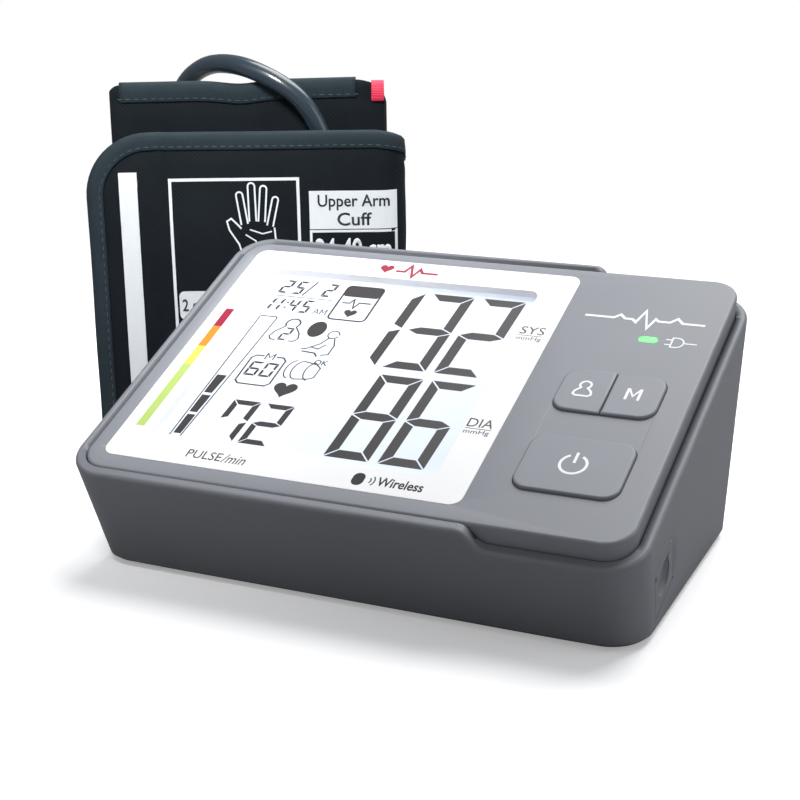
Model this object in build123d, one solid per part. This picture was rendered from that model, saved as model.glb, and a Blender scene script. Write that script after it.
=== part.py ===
"""Upper arm blood pressure monitor: a sloped desktop unit with its rolled arm cuff behind it.

Units are millimetres. +X is right, +Y is away from the user, +Z is up. Every piece is written to
parts/NODE.step. The unit is drawn about its own centre line and the whole set is then moved so
that the origin is the bottom centre of the unit and the cuff together.
"""
from build123d import *
import os
from math import cos, pi, radians, sin, tan

# ---- driving dimensions -------------------------------------------------------------------
HALF_W = 92.0          # half the width of the unit at its rim
SLOPE = 129.6          # length of the rim up the slope, front edge to rear edge
TILT = 23.0            # tilt of the panel
FRONT_Y = -65.0        # front edge of the rim
FRONT_Z = 34.1         # height of the front edge of the rim
SIDE_LEAN = 0.0725     # how far each side wall comes in per mm below the panel
FRONT_LEAN = -0.063    # the front wall goes outwards a little from the panel's normal
REAR_LEAN = tan(radians(TILT))   # the rear wall is upright
CORNER_R = 12.5        # plan radius of the body's corners
WALL = 3.4             # housing wall, which is also the width of the rim
COVER_INSET = 3.8      # cover edge, in from the rim's outer edge
COVER_T = 2.4
SKIRT_T = 1.8
SKIRT_DEPTH = 9.0
BASE_Z = 1.5           # underside of the housing, above the feet
FLOOR_T = 2.2
LOW_RIM = 6.0          # the rim's drop beside the keys
RAMP_X = (39.2, 47.9)  # where the rim ramps down
GAP = 0.25             # clearance round a key
KEY_PROUD = 1.0
BEZEL = (-82.7, 37.0, 9.8, 120.9)      # x from, x to, up the slope from, to
WINDOW = (-71.3, 25.6, 20.1, 111.1)
POWER_KEY = (47.9, 79.5, 20.1, 43.5)
PAIR_KEYS = (47.9, 79.5, 55.0, 74.0)
PAIR_SPLIT = 63.5
LED_SLOT = (64.2, 70.2, 90.9, 93.6)
PCB_N = (-10.6, -9.0)  # the board's two faces, from the panel
TUBE_R = 3.5           # air tube, outside radius
ROW_SHIFT = Pos(37.0, -26.8, 0)

os.makedirs("parts", exist_ok=True)
NODES = {}


def keep(name, *pieces):
    """Hold one finished sub-part, which is one solid or several alike, under its node name."""
    NODES[name] = [solid for piece in pieces for solid in piece.solids()]


# ---- frames -------------------------------------------------------------------------------
NORMAL = Vector(0, -sin(radians(TILT)), cos(radians(TILT)))
PANEL = Plane(origin=(0, FRONT_Y, FRONT_Z), x_dir=(1, 0, 0), z_dir=NORMAL)
GROUND = Plane.XY
UP_WALL = (NORMAL + Vector(SIDE_LEAN, 0, 0)).normalized()


def slab(plane, x0, x1, y0, y1, z0, z1, radius=0.0):
    """A block square to a plane, with its upright edges rounded."""
    wide, deep = x1 - x0, y1 - y0
    outline = RectangleRounded(wide, deep, radius) if radius else Rectangle(wide, deep)
    return plane.location * Pos((x0 + x1) / 2, (y0 + y1) / 2, z0) * extrude(outline, z1 - z0)


def rod(plane, x, y, z0, z1, radius):
    """A round bar along a plane's normal."""
    return plane.location * Pos(x, y, z0) * extrude(Circle(radius), z1 - z0)


def pipe(points, radius, bends):
    """A round bar along straight runs joined by arcs."""
    path = FilletPolyline(*points, radius=bends)
    start = Plane(origin=path @ 0, z_dir=path % 0)
    return sweep(start.location * Circle(radius), path=path)


def ring(depth, inset):
    """The body's outline on a plane parallel to the panel, some way below it."""
    half = HALF_W - SIDE_LEAN * depth - inset
    front = FRONT_LEAN * depth + inset
    rear = SLOPE - REAR_LEAN * depth - inset
    outline = RectangleRounded(2 * half, rear - front, CORNER_R - inset)
    return PANEL.location * Pos(0, (front + rear) / 2, -depth) * outline


def tub(inset, top, bottom):
    """The solid between two of the body's outlines."""
    return loft([ring(top, inset), ring(bottom, inset)], ruled=True)


def above_rim():
    """Everything above the rim, which ramps down beside the keys."""
    side = Plane(origin=PANEL.from_local_coords(Vector(0, -30, 0)), x_dir=(1, 0, 0),
                 z_dir=PANEL.y_dir)
    left, right = RAMP_X
    middle = (left + right) / 2
    ramp = Bezier((left, 0), (middle, 0), (middle, LOW_RIM), (right, LOW_RIM))
    outline = Polyline((right, LOW_RIM), (120, LOW_RIM), (120, -30), (-120, -30), (-120, 0),
                       (left, 0))
    return side.location * extrude(make_face([ramp, outline]), 200)


# ---- shells -------------------------------------------------------------------------------
TRAY = (-62.5, -1.5, -47.6, 8.6)       # battery space: x from, to, y from, to
TRAY_TOP = 20.0
HATCH_AXIS = (7.2, 2.5)                # y and z of the hatch's hinge line
FEET = [(-70, -43), (70, -43), (-70, 44), (70, 44)]
SCREW_SPOTS = [(-80.6, -48.4, 18.0), (80.6, -48.4, 18.0), (-82.3, 34, 32.0), (82.3, 34, 32.0)]
BOARD_SPOTS = [(42.0, 49.4), (76.8, 49.4), (42.0, 104.0), (76.8, 104.0)]
SOCKET_Y, SOCKET_Z = 14.0, 40.0

# the right wall's own frame: x up the slope, y up the wall, z outwards, at the flap's hinge line
FLAP_V, FLAP_DEPTH = 22.2, 36.0
FLAP_HALF, FLAP_H, FLAP_T = 8.5, 15.5, 1.8
flap_foot = PANEL.from_local_coords(Vector(HALF_W - SIDE_LEAN * FLAP_DEPTH, FLAP_V, -FLAP_DEPTH))
SIDE = Plane(origin=flap_foot, x_dir=PANEL.y_dir, z_dir=PANEL.y_dir.cross(UP_WALL))


def lower_housing():
    """The body shell: walls, rim, base, battery tray, screw bosses and jack shelf."""
    body = tub(0, -3, 84) - above_rim()
    body -= Pos(0, 0, BASE_Z - 60) * Box(400, 400, 120)
    low, high = RAMP_X

    def on_rim(edge):
        n = PANEL.to_local_coords(edge.center())
        across = abs(edge.tangent_at(0.5).dot(Vector(PANEL.y_dir))) > 0.99
        return n.Z > -LOW_RIM - 0.3 and not (across and low - 1 < n.X < high + 1)

    body = fillet(body.edges().filter_by(on_rim), 1.4)
    foot_edges = body.edges().filter_by(lambda e: abs(e.center().Z - BASE_Z) < 0.01)
    body = chamfer(foot_edges, 1.2)
    inside = tub(WALL, -3, 84) - Pos(0, 0, BASE_Z + FLOOR_T - 60) * Box(400, 400, 120)
    body -= inside
    x0, x1, y0, y1 = TRAY
    floor_top = BASE_Z + FLOOR_T
    body += slab(GROUND, x0 - 1.5, x1 + 1.5, y0 - 1.5, y1 + 1.5, floor_top - 0.5, TRAY_TOP + 1.5)
    body -= slab(GROUND, x0, x1, y0, y1, floor_top, TRAY_TOP)
    body -= slab(GROUND, x0, x1, y0, y1, 0, floor_top + 0.1)
    for x in (x0, x1):                 # the hatch's pivots turn in these holes
        body -= rod(Plane.YZ, HATCH_AXIS[0], HATCH_AXIS[1], x - 1.3, x + 1.3, 0.65)
    for x, y in FEET:
        body -= rod(GROUND, x, y, 0, BASE_Z + 0.8, 5.05)
    for x, y, top in SCREW_SPOTS:
        keep_in = tub(1.0, -3, 84)
        body += rod(GROUND, x, y, floor_top - 0.5, top, 4.0) & keep_in
        body -= rod(GROUND, x, y, 0, top - 4, 2.7)
        body -= rod(GROUND, x, y, 0, top + 1, 1.7)
    body -= rod(Plane.YZ, SOCKET_Y, SOCKET_Z, -100, -80, 4.5)
    body -= slab(SIDE, -FLAP_HALF - 0.2, FLAP_HALF + 0.2, -1.1, FLAP_H + 0.2, -FLAP_T - 0.2, 2)
    body -= slab(SIDE, -5.2, 5.2, 1.2, 13.4, -8, 2)
    body += slab(SIDE, -7.5, 7.5, 0.0, 1.1, -17, -3.2)
    along = Plane(origin=SIDE.origin, x_dir=SIDE.y_dir, z_dir=SIDE.x_dir)
    body -= along.location * Pos(0, -0.9, -FLAP_HALF - 1.6) * Cylinder(
        0.55, 2 * FLAP_HALF + 3.2, align=(Align.CENTER, Align.CENTER, Align.MIN))
    return body


def upper_cover():
    """The panel moulding: plate, skirt, display opening, key openings and screw posts."""
    cover = tub(COVER_INSET, -3, SKIRT_DEPTH)
    cover -= slab(PANEL, -120, 120, -30, 160, 0, 10)
    rim = cover.edges().filter_by(lambda e: abs(PANEL.to_local_coords(e.center()).Z) < 0.01)
    cover = fillet(rim, 1.0)
    cover -= tub(COVER_INSET + SKIRT_T, COVER_T, SKIRT_DEPTH + 2)
    cover -= slab(PANEL, *BEZEL, -1.0, 1, 3.85)
    x0, x1, v0, v1 = WINDOW
    cover -= slab(PANEL, x0 - 1.4, x1 + 1.4, v0 - 1.4, v1 + 1.4, -5, 1, 4.0)
    for x0, x1, v0, v1 in (POWER_KEY, PAIR_KEYS):
        cover -= slab(PANEL, x0 - GAP, x1 + GAP, v0 - GAP, v1 + GAP, -5, 1, 5.1)
    x0, x1, v0, v1 = LED_SLOT
    cover -= slab(PANEL, x0 - 0.05, x1 + 0.05, v0 - 0.05, v1 + 0.05, -5, 1, 1.2)
    below = slab(PANEL, -120, 120, -30, 160, -120, -COVER_T + 0.4)
    for x, y, foot in SCREW_SPOTS:
        cover += rod(GROUND, x, y, foot, 120, 2.8) & below
        cover -= rod(GROUND, x, y, foot - 1, foot + 9, 1.3)
    for x, v in BOARD_SPOTS:
        cover += rod(PANEL, x, v, PCB_N[1], -COVER_T + 0.4, 2.2)
        cover -= rod(PANEL, x, v, PCB_N[1] - 1, -4.5, 0.9)
    return cover


def display_bezel():
    """The white surround, let into the cover, with a short wall round the window."""
    bezel = slab(PANEL, BEZEL[0] + 0.05, BEZEL[1] - 0.05, BEZEL[2] + 0.05, BEZEL[3] - 0.05,
                 -1.0, 0.1, 3.8)
    x0, x1, v0, v1 = WINDOW
    bezel += slab(PANEL, x0 - 1.3, x1 + 1.3, v0 - 1.3, v1 + 1.3, -2.4, -0.5, 3.9)
    bezel -= slab(PANEL, x0, x1, v0, v1, -5, 5, 3.3)
    top = bezel.edges().filter_by(lambda e: abs(PANEL.to_local_coords(e.center()).Z - 0.1) < 0.01)
    return fillet(top, 0.08)


def display_parts():
    """The liquid crystal glass, its light guide, carrier frame and contact strips."""
    x0, x1, v0, v1 = WINDOW
    glass = (x0 - 3.5, x1 + 3.5, v0 - 3.5, v1 + 3.5)
    keep("lcd_glass", slab(PANEL, *glass, -4.9, -2.45))
    keep("lcd_backlight", slab(PANEL, x0 - 2, x1 + 2, v0 - 1, v1 + 1, -7.4, -4.95))
    frame = slab(PANEL, glass[0] - 2.2, glass[1] + 2.2, glass[2] - 1.6, glass[3] + 1.6,
                 PCB_N[1], -2.45, 1.0)
    frame -= slab(PANEL, glass[0] - 0.2, glass[1] + 0.2, glass[2] - 0.2, glass[3] + 0.2, -12, 0)
    shelf = slab(PANEL, glass[0] - 0.4, glass[1] + 0.4, v0 - 1, v1 + 1, PCB_N[1], -4.95)
    shelf -= slab(PANEL, x0 - 2.05, x1 + 2.05, v0 - 1.1, v1 + 1.1, -7.45, 0)
    keep("lcd_frame", frame + shelf)
    strips = [slab(PANEL, x0, x1, v, v + 1.8, PCB_N[1], -4.9) for v in (glass[2] + 0.3,
                                                                       glass[3] - 2.1)]
    keep("zebra_strips", *strips)


# ---- keys ---------------------------------------------------------------------------------
def key(block, flange, post):
    """One key cap: a rounded top above the cover, a flange below it and a post on its switch."""
    x0, x1, v0, v1 = block
    cap = slab(PANEL, x0, x1, v0, v1, -2.6, KEY_PROUD, 4.9)
    lip = slab(PANEL, *flange, -4.2, -2.5, 1.0)
    stem = rod(PANEL, post[0], post[1], -4.8, -4.1, 2.0)
    return cap, lip, stem


def round_top(cap):
    """Soften the upper edge of a key."""
    top = cap.edges().filter_by(
        lambda e: abs(PANEL.to_local_coords(e.center()).Z - KEY_PROUD) < 0.01)
    return fillet(top, 0.7)


def keys():
    """The power key and the two keys that share one oblong."""
    x0, x1, v0, v1 = POWER_KEY
    cap, lip, stem = key(POWER_KEY, (x0 - 1, x1 + 1, v0, v1 + 1),
                         ((x0 + x1) / 2, (v0 + v1) / 2))
    keep("power_button", round_top(cap) + lip + stem)
    x0, x1, v0, v1 = PAIR_KEYS
    halves = {"user_button": (x0 - 1, PAIR_SPLIT - 0.15), "memory_button": (PAIR_SPLIT + 0.15, x1 + 1)}
    for name, (a, b) in halves.items():
        middle = (max(a, x0) + min(b, x1)) / 2
        cap, lip, stem = key(PAIR_KEYS, (a, b, v0 - 1, v1 + 1), (middle, (v0 + v1) / 2))
        cap = cap & slab(PANEL, a, b, v0 - 5, v1 + 5, -5, 5)
        keep(name, round_top(cap) + lip + stem)


def electronics():
    """The board and what is soldered to it."""
    board = slab(PANEL, -79.5, 81.0, 13.0, 117.5, *PCB_N, 2.0)
    for x, v in BOARD_SPOTS:
        board -= rod(PANEL, x, v, PCB_N[0] - 1, PCB_N[1] + 1, 1.2)
    for x, y, foot in SCREW_SPOTS:
        board -= rod(GROUND, x, y, foot, 120, 3.4)
    keep("main_pcb", board)
    screws = []
    for x, v in BOARD_SPOTS:
        screws.append(rod(PANEL, x, v, PCB_N[0] - 1.4, PCB_N[0], 2.0)
                      + rod(PANEL, x, v, PCB_N[0] - 0.2, -5.0, 0.85))
    keep("pcb_screws", *screws)
    spots = [((POWER_KEY[0] + POWER_KEY[1]) / 2, (POWER_KEY[2] + POWER_KEY[3]) / 2),
             ((PAIR_KEYS[0] + PAIR_SPLIT - 0.15) / 2, (PAIR_KEYS[2] + PAIR_KEYS[3]) / 2),
             ((PAIR_KEYS[1] + PAIR_SPLIT + 0.15) / 2, (PAIR_KEYS[2] + PAIR_KEYS[3]) / 2)]
    switches = [slab(PANEL, x - 3, x + 3, v - 3, v + 3, PCB_N[1], -6.3, 0.3)
                + rod(PANEL, x, v, -6.4, -5.4, 1.75) for x, v in spots]
    keep("tact_switches", *switches)
    x0, x1, v0, v1 = LED_SLOT
    keep("led_lens", slab(PANEL, x0, x1, v0, v1, -5.0, 0.05, 1.15))
    keep("status_led", slab(PANEL, 66.2, 68.2, 91.6, 92.9, PCB_N[1], -8.0))
    under = PCB_N[0]
    chips = [slab(PANEL, -20, -8, 60, 72, under - 1.6, under),
             slab(PANEL, 50, 57, 80, 85, under - 1.6, under),
             slab(PANEL, -50, -42, 70, 76, under - 1.8, under),
             slab(PANEL, 20, 26, 50, 54, under - 1.4, under)]
    keep("control_chips", *chips)
    keep("wireless_module", slab(PANEL, 58, 74, 62, 72, under - 2.4, under, 0.4))
    keep("buzzer", rod(PANEL, -60, 50, under - 5, under, 6.0))


# ---- air circuit --------------------------------------------------------------------------
PUMP = (20.0, 22.0, 17.4)              # motor's rear end x, and the centre line's y and z
HEAD_X = (46.0, 68.0)
VALVE_X = -24.0


def air_circuit():
    """The pump, its turning shaft, the release valve, the sensor, the tubes and the outlet."""
    x, y, z = PUMP
    motor = rod(Plane.YZ, y, z, x, HEAD_X[0], 12.0)
    motor -= rod(Plane.YZ, y, z, x + 1.5, HEAD_X[0] - 1.5, 10.6)
    motor -= rod(Plane.YZ, y, z, x - 1, HEAD_X[0] + 1, 1.06)
    keep("pump_motor", motor)
    head = slab(GROUND, HEAD_X[0], HEAD_X[1], y - 13.5, y + 13.5, 3.75, 30.5, 1.5)
    head -= rod(Plane.YZ, y, z, HEAD_X[0] - 1, HEAD_X[0] + 10, 8.5)
    head += rod(GROUND, 57, y, 30.0, 36.0, 1.75)
    head -= rod(GROUND, 57, y, 27.0, 37.0, 0.8)
    keep("pump_head", head)
    rotor = rod(Plane.YZ, y, z, x - 1.5, HEAD_X[0] + 7, 1.0)
    rotor += rod(Plane.YZ, y, z, x + 5, HEAD_X[0] - 5, 8.6)
    rotor += rod(Plane.YZ, y + 2.2, z, HEAD_X[0] + 2, HEAD_X[0] + 6, 4.2)
    keep("pump_rotor", rotor)
    cradle = slab(GROUND, x + 3, HEAD_X[0] - 3, y - 9, y + 9, BASE_Z + FLOOR_T, 9.0)
    cradle -= rod(Plane.YZ, y, z, 0, 80, 12.05)
    keep("pump_cushion", cradle)
    valve = slab(GROUND, VALVE_X - 6, VALVE_X + 6, SOCKET_Y - 3, SOCKET_Y + 9,
                 BASE_Z + FLOOR_T, 22.0, 0.8)
    valve += rod(GROUND, VALVE_X, SOCKET_Y, 21.0, 27.0, 1.55)
    valve -= rod(GROUND, VALVE_X, SOCKET_Y, 16.0, 28.0, 0.8)
    bore_y = SOCKET_Y + 5.2
    valve -= rod(GROUND, VALVE_X, bore_y, 8.0, 23.0, 2.05)
    keep("release_valve", valve)
    keep("valve_plunger", rod(GROUND, VALVE_X, bore_y, 9.5, 24.0, 2.0))
    sensor_v = PANEL.to_local_coords(Vector(0, SOCKET_Y, SOCKET_Z)).Y
    keep("pressure_sensor", slab(PANEL, -6, 6, sensor_v - 5, sensor_v + 5, -14.6, PCB_N[0], 0.5)
         + rod(PANEL, 0, sensor_v, -19.0, -14.0, 1.55))
    y, z = SOCKET_Y, SOCKET_Z
    pump_y = PUMP[1]
    main = [(-78.0, y, z), (30.0, y, z), (57.0, pump_y, z), (57.0, pump_y, 31.0)]
    start = PANEL.from_local_coords(Vector(0, sensor_v, -15.0))
    slip = (start.Z - z) / NORMAL.Z
    foot = start - NORMAL * slip

    riser = Plane(origin=foot, z_dir=NORMAL)

    def tree(radius, branch_radius, spare):
        body = pipe(main, radius, [12, 5])
        body += rod(GROUND, VALVE_X, y, 22.3 - spare, z, branch_radius)
        return body + riser.location * extrude(Circle(branch_radius), slip + spare)

    tubes = tree(3.0, 2.6, 0) - tree(1.8, 1.6, 0.5)
    keep("air_manifold", tubes)
    socket = rod(Plane.YZ, y, z, -91.0, -85.8, 4.45)
    socket += rod(Plane.YZ, y, z, -85.9, -84.4, 6.5)
    socket += rod(Plane.YZ, y, z, -84.6, -78.05, 3.6)
    socket += rod(Plane.YZ, y, z, -78.1, -72.0, 1.75)
    socket -= rod(Plane.YZ, y, z, -92.0, -79.0, 2.1)
    socket -= rod(Plane.YZ, y, z, -80.0, -71.0, 0.8)
    keep("air_socket", socket & tub(0.4, -3, 84))


# ---- power, hatch, flap, feet and screws --------------------------------------------------
def power_parts():
    """The cells, their contacts, the hatch, the supply jack with its flap, feet and screws."""
    x0, x1, y0, y1 = TRAY
    pitch = (x1 - x0) / 4
    centre_z = 12.0
    cells, springs, tabs = [], [], []
    across = Plane.XZ
    for i in range(4):
        x = x0 + pitch * (i + 0.5)
        nose = 1 if i % 2 else -1
        cell_y = (y0 + 3.3, y0 + 3.3 + 49.2) if nose > 0 else (y1 - 3.3 - 49.2, y1 - 3.3)
        tip_y = (cell_y[1] - 0.2, cell_y[1] + 1.2) if nose > 0 else (cell_y[0] - 1.2, cell_y[0] + 0.2)
        cells.append(rod(across, x, centre_z, -cell_y[1], -cell_y[0], 7.1)
                     + rod(across, x, centre_z, -tip_y[1], -tip_y[0], 2.7))
        plus_y = y1 - 0.5 if nose > 0 else y0 + 0.1
        tabs.append(slab(GROUND, x - 5, x + 5, plus_y, plus_y + 0.4, 6, 18))
        minus_y = y0 + 0.1 if nose > 0 else y1 - 0.5
        springs.append(slab(GROUND, x - 5, x + 5, minus_y, minus_y + 0.4, 6, 18)
                       + coil_spring(x, centre_z, minus_y + 0.2, nose))
    keep("aa_batteries", *cells)
    keep("contact_tabs", *tabs)
    keep("contact_springs", *springs)
    keep("battery_door", battery_door())
    keep("rubber_feet", *[rod(GROUND, x, y, 0, BASE_Z + 0.8, 5.0) for x, y in FEET])
    screws = []
    for x, y, top in SCREW_SPOTS:
        head = rod(GROUND, x, y, top - 6.2, top - 4, 2.5)
        head -= slab(GROUND, x - 1.6, x + 1.6, y - 0.35, y + 0.35, top - 7, top - 5.3)
        head -= slab(GROUND, x - 0.35, x + 0.35, y - 1.6, y + 1.6, top - 7, top - 5.3)
        screws.append(head + rod(GROUND, x, y, top - 4.1, top + 8, 1.25))
    keep("case_screws", *screws)
    jack = slab(SIDE, -4.5, 4.5, 1.9, 12.6, -16.5, -3.5, 0.6)
    jack -= rod(SIDE, 0, 7.25, -13.0, 1, 2.85)
    jack += rod(SIDE, 0, 7.25, -13.2, -5.0, 1.0)
    keep("dc_jack", jack)
    keep("jack_foot", slab(SIDE, -5, 5, 1.1, 1.9, -16.8, -5.0))
    keep("jack_cover", jack_cover())
    leads = []
    for dx, dz in ((0.0, 0.0), (4.0, 1.2)):
        leads.append(pipe([(-50 + dx, 10.9, 20.0), (-50 + dx, 10.9, 30.0 + dz),
                           (-56 + dx, 3.0, 40.0 + dz), (-56 + dx, 1.5, 50.6)], 0.7, [5, 4]))
    keep("power_leads", *leads)


def coil_spring(x, z, y, way):
    """A conical contact spring pressed nearly flat against a cell's base."""
    turn = Solid.make_cone(4.2, 2.4, 2.8, Plane(origin=(x, y, z), z_dir=(0, way, 0)))
    return turn - Solid.make_cone(3.4, 1.6, 2.9, Plane(origin=(x, y - 0.02 * way, z), z_dir=(0, way, 0)))


def battery_door():
    """The hatch under the unit: a plate with a rounded hinge edge, two pivots and a latch tab."""
    x0, x1, y0, y1 = TRAY
    axis_y, axis_z = HATCH_AXIS
    top = BASE_Z + 2.0
    door = slab(GROUND, x0 + 0.3, x1 - 0.3, y0 + 0.3, axis_y, BASE_Z, top)
    door += rod(Plane.YZ, axis_y, axis_z, x0 + 0.3, x1 - 0.3, 1.0)
    for x in (x0 + 0.3, x1 - 0.3):
        side = -1 if x < (x0 + x1) / 2 else 1
        ends = sorted((x - side * 0.5, x + side * 1.5))
        door += rod(Plane.YZ, axis_y, axis_z, ends[0], ends[1], 0.6)
    middle = (x0 + x1) / 2
    door += slab(GROUND, middle - 7, middle + 7, y0 + 0.5, y0 + 1.7, top - 0.3, 6.5)
    door -= slab(GROUND, middle - 9, middle + 9, y0 + 3, y0 + 9, 0, BASE_Z + 0.9, 2.8)
    for i in range(4):
        y = y0 + 13 + 2.2 * i
        door -= slab(GROUND, middle - 8, middle + 8, y, y + 1.1, 0, BASE_Z + 0.5)
    return door


def jack_cover():
    """The flap over the supply jack, with a round finger dish and two pivots."""
    flap = slab(SIDE, -FLAP_HALF, FLAP_HALF, 0, FLAP_H, -FLAP_T, 0)
    tip = flap.edges().filter_by(
        lambda e: SIDE.to_local_coords(e.center()).Y > FLAP_H - 0.01).filter_by(
        lambda e: abs(e.tangent_at(0.5).dot(SIDE.z_dir)) > 0.9)
    flap = fillet(tip, 1.6)
    along = Plane(origin=SIDE.origin, x_dir=SIDE.y_dir, z_dir=SIDE.x_dir)
    at_axis = along.location * Pos(0, -FLAP_T / 2, 0)
    middle = (Align.CENTER, Align.CENTER, Align.CENTER)
    flap += at_axis * Cylinder(FLAP_T / 2, 2 * FLAP_HALF, align=middle)
    flap += at_axis * Cylinder(0.5, 2 * FLAP_HALF + 2.8, align=middle)
    dish = SIDE.location * Pos(-0.5, 8.2, 4.6) * Sphere(7.4)
    crescent = SIDE.location * Pos(-0.5, 8.2, 0) * extrude(Circle(5.6), 3, both=True)
    dish = (dish & crescent) & slab(SIDE, -9, 9, 0, 20, -1.35, 3)
    flap -= dish
    flap -= SIDE.location * Pos(1.6, 11.0, 0) * Rot(0, 0, 40) * extrude(
        Ellipse(3.6, 1.5), -0.75, both=False)
    return flap


# ---- cuff ---------------------------------------------------------------------------------
CUFF_CORNER = (-150.4, 38.0, 0)        # the free end of the rolled cuff, at its front face
CUFF_TURN = 25.27                      # the cuff stands turned this much from the unit
CUFF_W = 115.5                         # free end to fold
FLAP_TOP = 119.5
PANEL_TOP = 134.5
WRAP_T = 3.6                           # padded cloth
FOLD_R = 6.4                           # the cloth's turns at the cuff's right side
CORE_B = (18.0, 32.0)                  # the rolled layers, front and back
CORE_A = (6.8, 109.0)
CUFF = Plane(origin=CUFF_CORNER, x_dir=(cos(radians(CUFF_TURN)), sin(radians(CUFF_TURN)), 0),
             z_dir=(0, 0, 1))
RING_A, RING_B = 14.0, 35.6            # the metal ring's fixed bar
COIL_A, COIL_B, COIL_R = 60.5, 88.0, 35.5
COIL_Z = (4.4, 11.4, 18.4)             # two turns, one on the other, and a last quarter on top


def cuff_layers():
    """The rolled cuff: outer wrap, inner panel, bladder, backing and what is sewn to them."""
    back = RING_B + 1.6
    mid = WRAP_T / 2
    course = FilletPolyline((3.0, mid), (CUFF_W - mid, mid), (CUFF_W - mid, back - mid),
                            (20.5, back - mid), radius=FOLD_R)
    wrap = trace(course, WRAP_T)
    wrap = CUFF.location * extrude(wrap, FLAP_TOP)
    end = wrap.edges().filter_by(
        lambda e: CUFF.to_local_coords(e.center()).X < 5).filter_by(
        lambda e: abs(e.tangent_at(0.5).Z) < 0.1).filter_by(
        lambda e: CUFF.to_local_coords(e.center()).Z > FLAP_TOP - 1)
    ends = [e for e in end if e.length < WRAP_T + 0.5 and CUFF.to_local_coords(e.center()).X < 3.2]
    wrap = fillet(ends, 23.0)
    keep("cuff_wrap", wrap)
    a0, a1 = CORE_A
    b0, b1 = CORE_B
    front = slab(CUFF, a0, a1, b0, b0 + 3.6, 0, PANEL_TOP, 1.2)
    keep("cuff_panel", front)
    keep("cuff_bladder", slab(CUFF, a0 + 6, a1 - 6, b0 + 3.7, b1 - 3.7, 8, PANEL_TOP - 9, 2.5))
    keep("cuff_backing", slab(CUFF, a0, a1, b1 - 3.6, b1, 0, PANEL_TOP - 1.5, 1.2))
    keep("hook_patch", slab(CUFF, 8, 62, WRAP_T + 0.02, WRAP_T + 1.2, 10, 92))
    keep("red_tag", slab(CUFF, 104.2, 108.8, b0 - 0.9, b0 - 0.05, 127.0, PANEL_TOP + 1.4))
    nozzle_b = NOZZLE[1]
    nozzle = rod(CUFF, NOZZLE[0], nozzle_b, 76, NOZZLE[2], 4.1)
    face = Plane(origin=CUFF.from_local_coords(Vector(NOZZLE[0], b0 - 0.02, 80)), x_dir=CUFF.x_dir,
                 z_dir=-CUFF.y_dir)
    nozzle += rod(face, 0, 0, 0, 1.3, 9.0)
    nozzle += rod(face, 0, 0, 0, b0 - nozzle_b, 3.6)
    keep("cuff_nozzle", nozzle)
    sleeve = rod(CUFF, RING_A, RING_B, 16, 82, 3.1)
    sleeve += slab(CUFF, RING_A, 20.3, RING_B - 1.5, RING_B + 1.5, 16, 82)
    sleeve -= rod(CUFF, RING_A, RING_B, 0, 120, 1.85)
    keep("ring_sleeve", sleeve)
    loop_mid = [(2.0, 6.0), (RING_A, 6.0), (RING_A, 92.0), (2.0, 92.0)]
    flat = Plane(origin=CUFF.from_local_coords(Vector(0, RING_B, 0)), x_dir=CUFF.x_dir,
                 z_dir=-CUFF.y_dir)
    path = flat.location * FilletPolyline(*loop_mid, radius=4.0, close=True)
    start = Plane(origin=path @ 0, z_dir=path % 0)
    keep("d_ring", sweep(start.location * Circle(1.75), path=path))


# ---- air tube -----------------------------------------------------------------------------
NOZZLE = (88.5, 12.4, 88.0)
# centre line in the cuff's frame: along it, away from its front face, up
TUBE_ROUTE = [
    NOZZLE,
    (88.5, 12.4, 103.0),
    (84.9, 12.8, 118.0),
    (78.0, 13.2, 129.6),
    (67.5, 15.0, 137.0),
    (54.5, 22.0, 141.4),
    (41.5, 34.0, 139.8),
    (31.0, 43.4, 130.0),
    (24.8, 46.6, 110.0),
    (21.6, 46.8, 86.0),
    (22.4, 46.0, 64.0),
    (23.6, 45.8, 48.0),
    (24.4, 46.4, 30.0),
    (24.7, 54.5, 11.9),
    (24.9, 71.5, COIL_Z[0]),
    (25.0, COIL_B, COIL_Z[0]),
]
TAIL_ROUTE = [
    (COIL_A, COIL_B + COIL_R, COIL_Z[2]),
    (75.0, 123.9, 18.5),
    (89.5, 121.2, 13.0),
    (101.5, 113.4, 6.9),
    (108.8, 101.0, 6.5),
]


def bend_radii(points):
    """The largest arc that the two runs at each inner point leave room for."""
    radii = []
    for before, here, after in zip(points, points[1:], points[2:]):
        run_in, run_out = Vector(here) - Vector(before), Vector(after) - Vector(here)
        turn = radians(run_in.get_angle(run_out))
        radii.append(0.45 * min(run_in.length, run_out.length) / tan(turn / 2))
    return radii


def free_tube(name, route):
    """A plain tube along a route, its bend radii and length printed."""
    points = [CUFF.from_local_coords(Vector(*p)) for p in route]
    radii = bend_radii(points)
    path = FilletPolyline(*points, radius=radii)
    start = Plane(origin=path @ 0, z_dir=path % 0)
    tube = sweep(start.location * Circle(TUBE_R), path=path)
    expected = pi * TUBE_R**2 * path.length
    print(name, "radii", [round(r, 1) for r in radii], "length", round(path.length, 1),
          "volume ratio", round(tube.volume / expected, 4), "valid", tube.is_valid)
    return tube


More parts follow.
